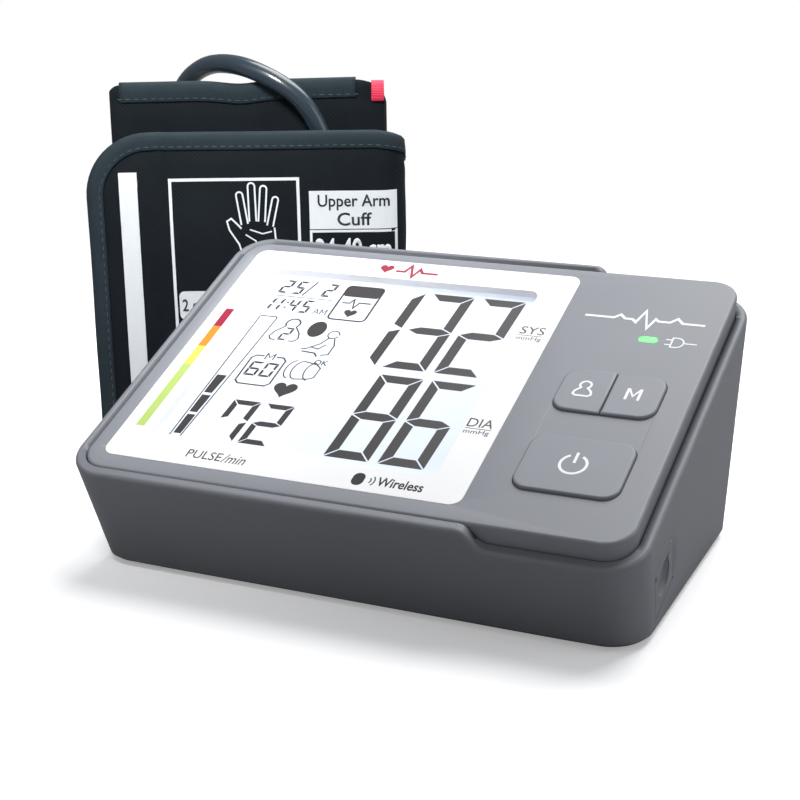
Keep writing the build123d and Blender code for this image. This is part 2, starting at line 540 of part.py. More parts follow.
def air_line():
    """The air tube from the cuff's nozzle to its coil on the floor, the tie and the plug."""
    keep("air_tube", free_tube("air_tube", TUBE_ROUTE))
    keep("tube_tail", free_tube("tube_tail", TAIL_ROUTE))
    low, high, top = COIL_Z[0] - TUBE_R, COIL_Z[1] + TUBE_R, COIL_Z[2] + TUBE_R
    reach = COIL_R + TUBE_R
    coil = rod(CUFF, COIL_A, COIL_B, low, top, reach)
    coil -= rod(CUFF, COIL_A, COIL_B, low - 1, top + 1, COIL_R - TUBE_R)
    last_quarter = slab(CUFF, COIL_A - reach, COIL_A, COIL_B, COIL_B + reach, low - 1, top + 1)
    two_turns = slab(CUFF, COIL_A - reach, COIL_A + reach, COIL_B - reach, COIL_B + reach, low - 1, high)
    keep("tube_coil", coil & (two_turns + last_quarter))
    near = COIL_B - COIL_R
    tie = slab(CUFF, COIL_A - 5, COIL_A + 5, near - TUBE_R - 1.6, near + TUBE_R + 1.6, low - 0.85,
               high + 0.85)
    tie -= slab(CUFF, COIL_A - 9, COIL_A + 9, near - TUBE_R - 0.8, near + TUBE_R + 0.8, low - 0.05,
                high + 0.05)
    keep("coil_tie", tie)
    end, before = (CUFF.from_local_coords(Vector(*p)) for p in (TAIL_ROUTE[-1], TAIL_ROUTE[-2]))
    plug_axis = Plane(origin=end, z_dir=end - before)
    plug = rod(plug_axis, 0, 0, 0, 15.0, 5.2)
    plug = fillet(plug.edges(), 0.8)
    plug += rod(plug_axis, 0, 0, 14.5, 27.0, 2.05)
    plug -= rod(plug_axis, 0, 0, 15.0, 28.0, 0.9)
    keep("air_plug", plug)


for build in (lower_housing, upper_cover, display_bezel):
    keep(build.__name__, build())
for group in (display_parts, keys, electronics, air_circuit, power_parts, cuff_layers, air_line):
    group()

CORD_NODES = ("air_tube", "tube_tail", "tube_coil", "coil_tie", "air_plug")
boxes = []
for name, solids in NODES.items():
    moved = Compound([ROW_SHIFT * solid for solid in solids])
    export_step(moved, f"parts/{name}.step")
    if name not in CORD_NODES:
        boxes.append(moved.bounding_box())
print("box centre x", (min(b.min.X for b in boxes) + max(b.max.X for b in boxes)) / 2,
      "y", (min(b.min.Y for b in boxes) + max(b.max.Y for b in boxes)) / 2, "nodes", len(NODES))
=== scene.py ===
"""Looks of a desktop upper arm blood pressure monitor, its rolled cuff and its air tube.

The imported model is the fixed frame. Sizes inside the classes are millimetres in the frame of the
piece that they belong to, and every finished mesh is in metres in the frame of the row.
"""
import logging
import math
from dataclasses import dataclass, field
from enum import Enum
from typing import Iterable, Sequence

import bmesh
import bpy
from mathutils import Matrix, Vector, noise
from mathutils.bvhtree import BVHTree
from mathutils.geometry import tessellate_polygon


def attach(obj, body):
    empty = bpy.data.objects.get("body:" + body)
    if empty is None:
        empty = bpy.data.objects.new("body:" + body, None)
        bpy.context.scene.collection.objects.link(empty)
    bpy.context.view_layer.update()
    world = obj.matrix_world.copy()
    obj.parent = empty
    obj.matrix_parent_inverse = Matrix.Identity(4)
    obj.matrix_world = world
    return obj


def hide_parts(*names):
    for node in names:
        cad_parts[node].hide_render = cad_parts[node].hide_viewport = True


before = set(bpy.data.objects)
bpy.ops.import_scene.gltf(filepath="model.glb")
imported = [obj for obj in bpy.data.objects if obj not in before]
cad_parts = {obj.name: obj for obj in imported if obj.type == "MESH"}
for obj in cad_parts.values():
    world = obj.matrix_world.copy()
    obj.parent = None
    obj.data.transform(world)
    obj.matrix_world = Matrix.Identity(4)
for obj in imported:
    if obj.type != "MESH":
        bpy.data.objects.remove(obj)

LOG = logging.getLogger("cuff_monitor")
MM = 0.001
Point = tuple[float, float]
Outline = Sequence[Point]
Box = tuple[float, float, float, float]
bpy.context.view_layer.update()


# ---- working frames -----------------------------------------------------------------------
@dataclass(frozen=True)
class Axes:
    """A flat working frame in millimetres, placed in the row's frame.

    Args:
        origin: where its zero lies.
        across: direction of its first axis.
        up: direction of its second axis.
    """

    origin: tuple[float, float, float]
    across: tuple[float, float, float]
    up: tuple[float, float, float]

    def matrix(self) -> Matrix:
        """Return the matrix from this frame's millimetres to the row's metres."""
        first, second = Vector(self.across).normalized(), Vector(self.up).normalized()
        third = first.cross(second)
        turned = Matrix((first, second, third)).transposed().to_4x4()
        return Matrix.Translation(Vector(self.origin) * MM) @ turned @ Matrix.Scale(MM, 4)

    def at(self, x: float, y: float, z: float = 0.0) -> Vector:
        """Return the point (x, y, z) of this frame in the row's metres."""
        return self.matrix() @ Vector((x, y, z))


TILT = math.radians(23.0)
CUFF_TURN = math.radians(25.27)
PANEL = Axes((37.0, -91.8, 34.1), (1, 0, 0), (0, math.cos(TILT), math.sin(TILT)))
CUFF_ORIGIN = (-113.4, 11.2, 0.0)
CUFF_FRONT = Axes(CUFF_ORIGIN, (math.cos(CUFF_TURN), math.sin(CUFF_TURN), 0), (0, 0, 1))
CUFF_PLAN = Axes(CUFF_ORIGIN, (math.cos(CUFF_TURN), math.sin(CUFF_TURN), 0),
                 (-math.sin(CUFF_TURN), math.cos(CUFF_TURN), 0))


# ---- node graphs --------------------------------------------------------------------------
def add_node(tree: bpy.types.NodeTree, kind: str, values: dict | None = None,
             **settings: object) -> bpy.types.Node:
    """Add a node to a graph.

    Args:
        tree: the graph.
        kind: its Blender type.
        values: its inputs by name or number, each a constant or another node's output.
        settings: its properties.

    Returns:
        The node.
    """
    made = tree.nodes.new(kind)
    for key, value in settings.items():
        setattr(made, key, value)
    feed(tree, made, values or {})
    return made


def feed(tree: bpy.types.NodeTree, node: bpy.types.Node, values: dict) -> None:
    """Set a node's inputs, each to a constant or to another node's output."""
    for key, value in values.items():
        if isinstance(value, bpy.types.NodeSocket):
            tree.links.new(value, node.inputs[key])
        else:
            node.inputs[key].default_value = value


# ---- finishes -----------------------------------------------------------------------------
class Pattern(Enum):
    """How the surface detail of a finish is made."""

    MOULDED = "fine even grain of a moulding"
    BRUSHED = "fine lines along one direction"
    TWILL = "woven cloth on the piece's own map"
    RIBBED = "cross-ribbed tape on the piece's own map"
    BOARD = "copper tracks under green lacquer"
    BANDED = "printed bands round a cell"
    HOOKS = "dense short hooks, fibres or open cells"


@dataclass(frozen=True)
class Finish:
    """One surface finish.

    Args:
        name: the material's name.
        colour: base colour, linear red, green and blue.
        pattern: how its detail is made.
        roughness: middle of its roughness.
        grain: size of the detail in millimetres.
        depth: strength of the detail's relief.
        mottle: how far the colour drifts over the surface.
        metallic: 1 for a metal.
        coat: strength of a clear top layer.
        sheen: strength of the cloth's fuzz.
        glow: light that the surface gives off by itself; on the status lens it is the lit LED, on the
            screen it is painted light.
        clear: share of light that passes through.
        shine: level of the surface's plain reflection.
    """

    name: str
    colour: tuple[float, float, float]
    pattern: Pattern = Pattern.MOULDED
    roughness: float = 0.5
    grain: float = 0.5
    depth: float = 0.12
    mottle: float = 0.06
    metallic: float = 0.0
    coat: float = 0.0
    sheen: float = 0.0
    glow: float = 0.0
    clear: float = 0.0
    shine: float = 0.5

    def make(self) -> bpy.types.Material:
        """Build the node material, or return it where it was built before.

        Returns:
            The material.
        """
        known = bpy.data.materials.get(self.name)
        return known if known else Recipe(self).material


class Recipe:
    """Builds the nodes of one finish."""

    def __init__(self, finish: Finish) -> None:
        """Build the material.

        Args:
            finish: what it should look like.
        """
        self.finish = finish
        self.material = bpy.data.materials.new(finish.name)
        self.material.use_nodes = True
        self.tree = self.material.node_tree
        self.shader = self.tree.nodes["Principled BSDF"]
        self.set_constants()
        self.coordinate = self.node("ShaderNodeTexCoord").outputs["Object"]
        height, tone = {
            Pattern.MOULDED: self.moulded, Pattern.BRUSHED: self.brushed,
            Pattern.TWILL: self.twill, Pattern.RIBBED: self.ribbed, Pattern.BOARD: self.board,
            Pattern.BANDED: self.banded, Pattern.HOOKS: self.hooks}[finish.pattern]()
        self.dress(height, tone)

    def set_constants(self) -> None:
        """Set what is the same all over the surface, on the shader itself."""
        look = self.finish
        feed(self.tree, self.shader, {
            "Metallic": look.metallic, "Coat Weight": look.coat, "Coat Roughness": 0.12,
            "Sheen Weight": look.sheen, "Sheen Roughness": 0.45,
            "Specular IOR Level": look.shine, "Transmission Weight": look.clear,
            "Emission Color": (*look.colour, 1.0), "Emission Strength": look.glow})
        self.material.diffuse_color = (*look.colour, 1.0)

    def node(self, kind: str, values: dict | None = None, **settings: object) -> bpy.types.Node:
        """Add a node to the finish's graph."""
        return add_node(self.tree, kind, values, **settings)

    def speckle(self, size: float, detail: float = 2.0, stretch: tuple | None = None,
                source: bpy.types.NodeSocket | None = None) -> bpy.types.NodeSocket:
        """Return soft random spots of one size in millimetres, stretched by shares of it."""
        place = source or self.coordinate
        if stretch:
            place = self.node("ShaderNodeMapping", {"Vector": place, "Scale": stretch}).outputs[0]
        spots = self.node("ShaderNodeTexNoise", {"Vector": place, "Scale": 1 / (size * MM),
                                                 "Detail": detail, "Roughness": 0.55})
        return spots.outputs["Fac"]

    def math(self, work: str, first: object, second: object) -> bpy.types.NodeSocket:
        """Return one sum of two values."""
        return self.node("ShaderNodeMath", {0: first, 1: second}, operation=work).outputs[0]

    def wave(self, pitch: float, direction: str, source: bpy.types.NodeSocket,
             wobble: float = 0.0) -> bpy.types.NodeSocket:
        """Return even ridges of one pitch in millimetres along a direction of the map."""
        turns = math.pi / 10 / (pitch * MM)
        ridges = self.node("ShaderNodeTexWave", {"Vector": source, "Scale": turns,
                                                 "Distortion": wobble, "Detail": 1.0},
                           bands_direction=direction)
        return ridges.outputs["Fac"]

    def map(self) -> bpy.types.NodeSocket:
        """Return the piece's own map, in metres along and up the cloth."""
        return self.node("ShaderNodeUVMap", uv_map="cloth").outputs[0]

    def moulded(self) -> tuple:
        """Return the relief and tone of a moulding: fine grain over a slow drift."""
        return self.speckle(self.finish.grain, 3.0), self.speckle(28.0)

    def brushed(self) -> tuple:
        """Return the relief and tone of drawn or brushed metal."""
        lines = self.speckle(self.finish.grain, 2.0, (1.0, 1.0, 0.04))
        return lines, lines

    def twill(self) -> tuple:
        """Return the relief and tone of a twill: crossed threads with a slanting rib."""
        place, size = self.map(), self.finish.grain
        slant = self.wave(size * 1.9, "DIAGONAL", place, 0.6)
        threads = self.math("MULTIPLY", self.wave(size, "X", place), self.wave(size, "Y", place))
        ribs = self.math("ADD", self.math("MULTIPLY", slant, 0.6),
                         self.math("MULTIPLY", threads, 0.4))
        worn = self.math("MULTIPLY", self.speckle(14.0, 4.0), 0.8)
        return ribs, self.math("MULTIPLY", self.math("ADD", ribs, worn), 0.55)

    def ribbed(self) -> tuple:
        """Return the relief and tone of a binding tape."""
        place = self.map()
        ribs = self.wave(self.finish.grain, "X", place, 0.4)
        return ribs, self.math("MULTIPLY", self.math("ADD", ribs, self.speckle(6.0)), 0.5)

    def board(self) -> tuple:
        """Return the relief and tone of a circuit board's tracks."""
        tracks = self.node("ShaderNodeTexBrick", {
            "Vector": self.coordinate, "Scale": 260.0, "Mortar Size": 0.03,
            "Color1": (0.2, 0.2, 0.2, 1), "Color2": (0.4, 0.4, 0.4, 1), "Mortar": (1, 1, 1, 1)})
        return tracks.outputs["Fac"], tracks.outputs["Color"]

    def banded(self) -> tuple:
        """Return the relief and tone of a cell's printed sleeve."""
        bands = self.wave(34.0, "Y", self.coordinate)
        return self.speckle(self.finish.grain), bands

    def hooks(self) -> tuple:
        """Return the relief and tone of hooks, fibres or foam."""
        tips = self.node("ShaderNodeTexVoronoi", {
            "Vector": self.coordinate, "Scale": 1 / (self.finish.grain * MM)})
        return tips.outputs["Distance"], tips.outputs["Distance"]

    def dress(self, height: bpy.types.NodeSocket, tone: bpy.types.NodeSocket) -> None:
        """Join relief and tone to the shader.

        Args:
            height: the relief, 0 to 1.
            tone: where the colour is lighter, 0 to 1.
        """
        look = self.finish
        dark = tuple(max(0.0, c * (1 - look.mottle)) for c in look.colour)
        light = tuple(min(1.0, c * (1 + look.mottle) + 0.02 * look.mottle) for c in look.colour)
        blend = self.node("ShaderNodeMix", {0: tone, 6: (*dark, 1), 7: (*light, 1)},
                          data_type="RGBA")
        self.tree.links.new(blend.outputs[2], self.shader.inputs["Base Color"])
        spread = self.node("ShaderNodeMapRange", {
            0: height, 1: 0.0, 2: 1.0, 3: max(0.02, look.roughness - 0.05),
            4: min(1.0, look.roughness + 0.05)})
        self.tree.links.new(spread.outputs[0], self.shader.inputs["Roughness"])
        if look.depth:
            relief = self.node("ShaderNodeBump", {
                "Height": height, "Strength": look.depth, "Distance": look.grain * MM * 0.5})
            self.tree.links.new(relief.outputs[0], self.shader.inputs["Normal"])


def srgb(red: int, green: int, blue: int) -> tuple[float, float, float]:
    """Return a screen colour of 0 to 255 as linear light.

    Args:
        red: red part.
        green: green part.
        blue: blue part.

    Returns:
        The same colour, linear.
    """
    def line(part: int) -> float:
        """Return one part, linear."""
        share = part / 255
        return share / 12.92 if share <= 0.04045 else ((share + 0.055) / 1.055) ** 2.4

    return line(red), line(green), line(blue)


SHELL = Finish("grey_moulding", srgb(120, 123, 129), roughness=0.52, grain=0.35, depth=0.10,
               mottle=0.035)
COVER = Finish("cover_moulding", srgb(131, 134, 141), roughness=0.48, grain=0.3, depth=0.08,
               mottle=0.03)
KEYCAP = Finish("key_moulding", srgb(131, 134, 142), roughness=0.45, grain=0.3, depth=0.06,
                mottle=0.03)
SURROUND = Finish("white_surround", srgb(228, 229, 231), roughness=0.3, grain=0.8, depth=0.02,
                  mottle=0.01, coat=0.3)
# The screen's glow is painted light: a faint pale-blue glow that keeps the recessed glass out of the
# recess's shade.
SCREEN_WITH_PAINTED_GLOW = Finish("screen_glass", srgb(226, 234, 250), roughness=0.2, grain=0.9, depth=0.01,
                mottle=0.02, coat=0.4, glow=0.10)
SEGMENT = Finish("screen_segments", srgb(52, 49, 50), roughness=0.4, grain=0.6, depth=0.02,
                 mottle=0.04)
WHITE_INK = Finish("white_ink", srgb(240, 242, 245), roughness=0.45, grain=0.25, depth=0.08,
                   mottle=0.02)
GREY_INK = Finish("grey_ink", srgb(58, 58, 62), roughness=0.5, grain=0.25, depth=0.06, mottle=0.03)
BLACK_INK = Finish("black_ink", srgb(20, 20, 22), roughness=0.45, grain=0.25, depth=0.06,
                   mottle=0.03)
RED_INK, ORANGE_INK, YELLOW_INK, GREEN_INK = (
    Finish(name, colour, roughness=0.45, grain=0.25, depth=0.05, mottle=0.03)
    for name, colour in (("dark_red_ink", srgb(155, 23, 57)), ("orange_ink", srgb(255, 138, 28)),
                         ("yellow_ink", srgb(236, 208, 90)), ("green_ink", srgb(176, 201, 108))))
GREEN_LENS = Finish("green_lens", srgb(70, 235, 95), roughness=0.25, grain=0.6, depth=0.02,
                    mottle=0.03, glow=0.9)
CLOTH = Finish("navy_twill", srgb(11, 20, 27), Pattern.TWILL, roughness=0.78, grain=0.42,
               depth=0.5, mottle=0.4, shine=0.16)
LINING = Finish("dark_lining", srgb(11, 18, 25), Pattern.TWILL, roughness=0.85, grain=0.4,
                depth=0.4, mottle=0.25, shine=0.14)
BINDING = Finish("binding_tape", srgb(33, 46, 53), Pattern.RIBBED, roughness=0.68, grain=0.5,
                 depth=0.35, mottle=0.2, shine=0.25)
THREAD = Finish("sewing_thread", srgb(70, 84, 92), Pattern.HOOKS, roughness=0.6, grain=0.2,
                depth=0.2, mottle=0.1, shine=0.3)
LABEL = Finish("white_label", srgb(231, 236, 240), Pattern.HOOKS, roughness=0.6, grain=0.3,
               depth=0.1, mottle=0.04)
LABEL_INK = Finish("label_ink", srgb(30, 38, 46), roughness=0.6, grain=0.3, depth=0.05,
                   mottle=0.05)
TAG = Finish("red_ribbon", srgb(232, 46, 82), Pattern.RIBBED, roughness=0.55, grain=0.5,
             depth=0.4, mottle=0.12, sheen=0.15)
BLADDER = Finish("bladder_film", srgb(58, 63, 70), roughness=0.45, grain=1.5, depth=0.2,
                 mottle=0.12, coat=0.1)
HOOK_TAPE = Finish("hook_tape", srgb(30, 33, 38), Pattern.HOOKS, roughness=0.7, grain=0.9,
                   depth=1.0, mottle=0.35)
TUBE = Finish("air_tube_rubber", srgb(38, 50, 60), roughness=0.3, grain=0.6, depth=0.05,
              mottle=0.05, coat=0.5)
PLUG = Finish("plug_plastic", srgb(72, 78, 84), roughness=0.4, grain=0.4, depth=0.08)
RING_METAL = Finish("ring_steel", srgb(196, 198, 202), Pattern.BRUSHED, roughness=0.26, grain=0.3,
                    depth=0.12, mottle=0.08, metallic=1.0)
STEEL = Finish("plated_steel", srgb(182, 184, 186), Pattern.BRUSHED, roughness=0.32, grain=0.3,
               depth=0.1, mottle=0.08, metallic=1.0)
SILVER_CAN = Finish("motor_can", srgb(160, 162, 165), Pattern.BRUSHED, roughness=0.38, grain=0.5,
                    depth=0.1, mottle=0.1, metallic=1.0)
RUBBER = Finish("foot_rubber", srgb(52, 54, 57), roughness=0.75, grain=0.4, depth=0.2)
BLACK_PLASTIC = Finish("black_plastic", srgb(33, 34, 37), roughness=0.42, grain=0.4, depth=0.12)
NATURAL = Finish("natural_plastic", srgb(206, 206, 200), roughness=0.45, grain=0.5, depth=0.08,
                 clear=0.1)
LACQUER = Finish("board_lacquer", srgb(28, 92, 58), Pattern.BOARD, roughness=0.35, grain=0.8,
                 depth=0.25, mottle=0.35, coat=0.2)
SLEEVE = Finish("cell_sleeve", srgb(38, 92, 150), Pattern.BANDED, roughness=0.32, grain=0.8,
                depth=0.04, mottle=0.45, coat=0.2)
FOAM = Finish("damping_foam", srgb(70, 72, 74), Pattern.HOOKS, roughness=0.95, grain=1.1,
              depth=0.9, mottle=0.3)
SOFT_LINE = Finish("silicone_line", srgb(214, 212, 205), roughness=0.5, grain=0.7, depth=0.06,
                   clear=0.15)
LEAD = Finish("lead_insulation", srgb(170, 34, 36), roughness=0.4, grain=0.5, depth=0.05)
CHIP = Finish("chip_epoxy", srgb(30, 31, 33), roughness=0.6, grain=0.25, depth=0.2)


# ---- mesh helpers -------------------------------------------------------------------------
def link(name: str, data: bpy.types.ID) -> bpy.types.Object:
    """Put a mesh, curve, lamp or camera into the scene as an object at the origin."""
    thing = bpy.data.objects.new(name, data)
    bpy.context.scene.collection.objects.link(thing)
    return thing


def show(name: str, mesh: bpy.types.Mesh, finish: Finish | None = None) -> bpy.types.Object:
    """Put a mesh into the scene.

    Args:
        name: the object's name.
        mesh: its mesh, in the row's metres.
        finish: its finish, where the mesh has none yet.

    Returns:
        The object.
    """
    if finish:
        mesh.materials.clear()
        mesh.materials.append(finish.make())
    return link(name, mesh)


def evaluated(thing: bpy.types.Object) -> bpy.types.Mesh:
    """Return a new mesh of an object with its modifiers, or of a letter's shape."""
    bpy.context.view_layer.update()
    graph = bpy.context.evaluated_depsgraph_get()
    return bpy.data.meshes.new_from_object(thing.evaluated_get(graph), depsgraph=graph)


def settle(thing: bpy.types.Object) -> bpy.types.Object:
    """Turn an object with its modifiers into a plain mesh object of the same name.

    Args:
        thing: the object, which is removed.

    Returns:
        The plain object.
    """
    mesh, name = evaluated(thing), thing.name
    bpy.data.objects.remove(thing)
    mesh.name = name
    return show(name, mesh)


def fill_out(thing: bpy.types.Object, thickness: float = 0.0, offset: float = 0.0,
             levels: int = 0) -> bpy.types.Object:
    """Thicken a surface, subdivide it, and turn it into a plain mesh object.

    Args:
        thing: the surface.
        thickness: its thickness in millimetres, or 0 to leave it as it is.
        offset: which side it thickens to, from -1 to 1.
        levels: number of subdivisions.

    Returns:
        The plain object.
    """
    if thickness:
        solid = thing.modifiers.new("thickness", "SOLIDIFY")
        solid.thickness, solid.offset = thickness * MM, offset
    if levels:
        smooth = thing.modifiers.new("smooth", "SUBSURF")
        smooth.levels = smooth.render_levels = levels
    return settle(thing)


def finished(body: bmesh.types.BMesh, name: str, smooth: bool = True) -> bpy.types.Mesh:
    """Return an edited body as a new mesh, smooth shaded or flat."""
    mesh = bpy.data.meshes.new(name)
    body.to_mesh(mesh)
    body.free()
    if smooth:
        mesh.shade_smooth()
    return mesh


def grid_mesh(name: str, rows: Sequence[Sequence[Vector]], around: bool = False,
              caps: bool = False, maps: Sequence[Sequence[Point]] | None = None) -> bpy.types.Mesh:
    """Make a mesh from rows of points.

    Args:
        name: the mesh's name.
        rows: rows of as many points each, in metres.
        around: whether each row closes on itself.
        caps: whether the first and last rows are closed with a face.
        maps: the cloth map's place of each point, in metres.

    Returns:
        The mesh, its faces pointing outwards.
    """
    body = bmesh.new()
    layer = body.loops.layers.uv.new("cloth") if maps else None
    points = [[body.verts.new(p) for p in row] for row in rows]
    places = {vertex: spot for row, spots in zip(points, maps or ())
              for vertex, spot in zip(row, spots)}
    count = len(points[0])
    for low, high in zip(points, points[1:]):
        for i in range(count if around else count - 1):
            j = (i + 1) % count
            body.faces.new((low[i], low[j], high[j], high[i]))
    if caps:
        body.faces.new(list(reversed(points[0])))
        body.faces.new(points[-1])
    if layer:
        for face in body.faces:
            for loop in face.loops:
                loop[layer].uv = places[loop.vert]
    bmesh.ops.recalc_face_normals(body, faces=body.faces)
    return finished(body, name)


def welded(node: str, name: str, finish: Finish, sharp: float = 30.0) -> bpy.types.Object:
    """Make a smooth-shaded copy of a CAD node that stands for it.

    Args:
        node: the CAD node.
        name: the copy's name.
        finish: its finish.
        sharp: angle in degrees past which an edge stays crisp.

    Returns:
        The copy.
    """
    body = bmesh.new()
    body.from_mesh(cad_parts[node].data)
    bmesh.ops.remove_doubles(body, verts=body.verts, dist=2e-6)
    mesh = finished(body, name)
    mesh.set_sharp_from_angle(angle=math.radians(sharp))
    copy = show(name, mesh, finish)
    even = copy.modifiers.new("even_normals", "WEIGHTED_NORMAL")
    even.keep_sharp = True
    even.weight = 100
    return settle(copy)


def place(thing: bpy.types.Object, body: str, slot: str, *nodes: str) -> bpy.types.Object:
    """Ride a finished piece on its body and hide the CAD nodes that it stands for.

    Args:
        thing: the piece.
        body: the CAD body.
        slot: the record's material slot; not used.
        nodes: CAD nodes that it stands for.

    Returns:
        The piece.
    """
    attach(thing, body)
    if nodes:
        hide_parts(*nodes)
    LOG.info("%s rides on %s", thing.name, body)
    return thing


# ---- prints -------------------------------------------------------------------------------
def arc(x: float, y: float, radius: float, start: float, end: float, steps: int = 16,
        squash: float = 1.0) -> list[Point]:
    """Return points along an arc.

    Args:
        x: centre.
        y: centre.
        radius: its radius.
        start: first angle in degrees.
        end: last angle in degrees.
        steps: number of chords.
        squash: share of its height that is kept.

    Returns:
        The points.
    """
    turns = (math.radians(start + (end - start) * i / steps) for i in range(steps + 1))
    return [(x + radius * math.cos(t), y + radius * squash * math.sin(t)) for t in turns]


def rounded(x0: float, x1: float, y0: float, y1: float, radius: float) -> list[Point]:
    """Return the outline of a box with round corners."""
    corners = ((x1 - radius, y0 + radius, -90), (x1 - radius, y1 - radius, 0),
               (x0 + radius, y1 - radius, 90), (x0 + radius, y0 + radius, 180))
    return [p for x, y, turn in corners for p in arc(x, y, radius, turn, turn + 90, 6)]


def inset(outline: Outline, gap: float) -> list[Point]:
    """Return a convex anticlockwise outline with each side moved inwards by a gap."""
    count, moved = len(outline), []
    for i in range(count):
        before, here, after = (Vector(outline[(i + k) % count]) for k in (-1, 0, 1))
        first, second = (here - before).normalized(), (after - here).normalized()
        left, right = Vector((-first.y, first.x)), Vector((-second.y, second.x))
        middle = (left + right).normalized()
        moved.append(tuple(here + middle * (gap / max(0.3, middle.dot(left)))))
    return moved


def ribbon(points: Outline, width: float, closed: bool = False) -> list[list[Point]]:
    """Return the outlines of a line of one width.

    Args:
        points: its middle line.
        width: its width.
        closed: whether its ends meet.

    Returns:
        One outline, or the outer and the inner one where the line is closed.
    """
    half, count = width / 2, len(points)
    sides: tuple[list[Point], list[Point]] = ([], [])
    for i, here in enumerate(points):
        before = points[i - 1] if closed or i else here
        after = points[(i + 1) % count] if closed or i < count - 1 else here
        run_in = (Vector(here) - Vector(before)).normalized()
        run_out = (Vector(after) - Vector(here)).normalized()
        along = (run_in + run_out).normalized()
        normal = Vector((-along.y, along.x))
        reach = half / max(0.4, abs(normal.dot(Vector((-run_out.y, run_out.x))
                                               if run_out.length else normal)))
        for side, way in zip(sides, (1, -1)):
            side.append(tuple(Vector(here) + normal * reach * way))
    if closed:
        return [sides[0], sides[1][::-1]]
    return [sides[0] + sides[1][::-1]]


class Artwork:
    """Flat inked shapes of one colour, gathered on one working frame."""

    def __init__(self, name: str, axes: Axes, height: float, finish: Finish,
                 thickness: float = 0.05) -> None:
        """Start an empty print.

        Args:
            name: the piece's name.
            axes: the frame that it is drawn on.
            height: how far its face stands off that frame.
            finish: its ink.
            thickness: how thick the ink is.
        """
        self.name, self.axes, self.height = name, axes, height
        self.finish, self.thickness = finish, thickness
        self.body = bmesh.new()

    def shape(self, *outlines: Outline) -> None:
        """Add one filled shape: an outline, and any further ones as its holes."""
        flat = [[Vector((x, y, 0)) for x, y in outline] for outline in outlines]
        points = [self.body.verts.new(p) for outline in flat for p in outline]
        for triangle in tessellate_polygon(flat):
            corners = [points[i] for i in triangle]
            side = (corners[1].co - corners[0].co).cross(corners[2].co - corners[0].co).z
            if abs(side) > 1e-9:
                self.body.faces.new(corners if side > 0 else corners[::-1])

    def line(self, points: Outline, width: float, closed: bool = False) -> None:
        """Add a line of one width."""
        self.shape(*ribbon(points, width, closed))

    def word(self, text: str, box: Box, bold: float = 0.0,
             slant: float = 0.0) -> None:
        """Add lettering that fills a box.

        Args:
            text: the letters or figures.
            box: x from, x to, y from, y to.
            bold: how much the strokes are thickened, in shares of the letter's height.
            slant: how far the letters lean.
        """
        curve = bpy.data.curves.new("lettering", "FONT")
        curve.body, curve.offset, curve.shear = text, bold, slant
        curve.resolution_u = 3
        curve.fill_mode = "FRONT"
        holder = link("lettering", curve)
        mesh = evaluated(holder)
        xs, ys = ([v.co[k] for v in mesh.vertices] for k in (0, 1))
        wide, high = (box[1] - box[0]) / (max(xs) - min(xs)), (box[3] - box[2]) / (max(ys) - min(ys))
        shift = Matrix.Translation((box[0] - min(xs) * wide, box[2] - min(ys) * high, 0))
        mesh.transform(shift @ Matrix.Diagonal((wide, high, 1, 1)))
        self.body.from_mesh(mesh)
        bpy.data.objects.remove(holder)
        bpy.data.curves.remove(curve)
        bpy.data.meshes.remove(mesh)

    def figure(self, text: str, box: Box, bar: float,
               gap: float, lean: float) -> None:
        """Add one seven-bar figure.

        Args:
            text: the figure.
            box: x from, x to, y from, y to.
            bar: thickness of a bar.
            gap: gap between bars.
            lean: how far its top stands right of its foot.
        """
        w, h, m, t = box[1] - box[0] - lean, box[3] - box[2], (box[3] - box[2]) / 2, bar
        bars = {
            "a": [(0, h), (t, h - t), (w - t, h - t), (w, h)],
            "b": [(w, h), (w - t, h - t), (w - t, m + t / 2), (w, m)],
            "c": [(w, m), (w - t, m - t / 2), (w - t, t), (w, 0)],
            "d": [(w, 0), (w - t, t), (t, t), (0, 0)],
            "e": [(0, 0), (t, t), (t, m - t / 2), (0, m)],
            "f": [(0, m), (t, m + t / 2), (t, h - t), (0, h)],
            "g": [(0, m), (t, m - t / 2), (w - t, m - t / 2), (w, m), (w - t, m + t / 2),
                  (t, m + t / 2)],
        }
        for letter in LIT_BARS[text]:
            trimmed = inset(bars[letter], gap / 2)
            self.shape([(box[0] + x + lean * y / h, box[2] + y) for x, y in trimmed])

    def letter_m(self, box: Box, pen: float) -> None:
        """Add a plain capital M in line.

        Args:
            box: x from, x to, y from, y to.
            pen: width of its strokes.
        """
        x0, x1, y0, y1 = box
        half = pen / 2
        for x in (x0 + half, x1 - half):
            self.line([(x, y0), (x, y1)], pen)
        middle, dip = (x0 + x1) / 2, y0 + 0.28 * (y1 - y0)
        self.shape([(x0 + pen, y1), (x0 + pen, y1 - pen * 1.5), (middle, dip - pen * 0.4),
                    (x1 - pen, y1 - pen * 1.5), (x1 - pen, y1), (middle, dip + pen * 0.9)])

    def heart(self, x: float, y: float, width: float) -> None:
        """Add a heart centred on a point."""
        points = []
        for i in range(40):
            t = 2 * math.pi * i / 40
            across = 16 * math.sin(t) ** 3
            up = 13 * math.cos(t) - 5 * math.cos(2 * t) - 2 * math.cos(3 * t) - math.cos(4 * t)
            points.append((x + across * width / 32, y + (up + 2.5) * width / 32))
        self.shape(points[::-1])

    def make(self, cloth: BVHTree | None = None, cell: float = 2.5) -> bpy.types.Object:
        """Turn the print into a thin closed mesh, laid on cloth where there is some.

        Args:
            cloth: the surface that it follows.
            cell: how finely it is cut up to follow it.

        Returns:
            The object.
        """
        body = self.body
        if cloth:
            self.cut(cell)
        body.transform(self.axes.matrix() @ Matrix.Translation((0, 0, self.height)))
        if cloth:
            self.lay(cloth)
        bmesh.ops.remove_doubles(body, verts=body.verts, dist=1e-7)
        sheet = show(self.name, finished(body, self.name, smooth=False), self.finish)
        return fill_out(sheet, self.thickness, offset=-1.0)

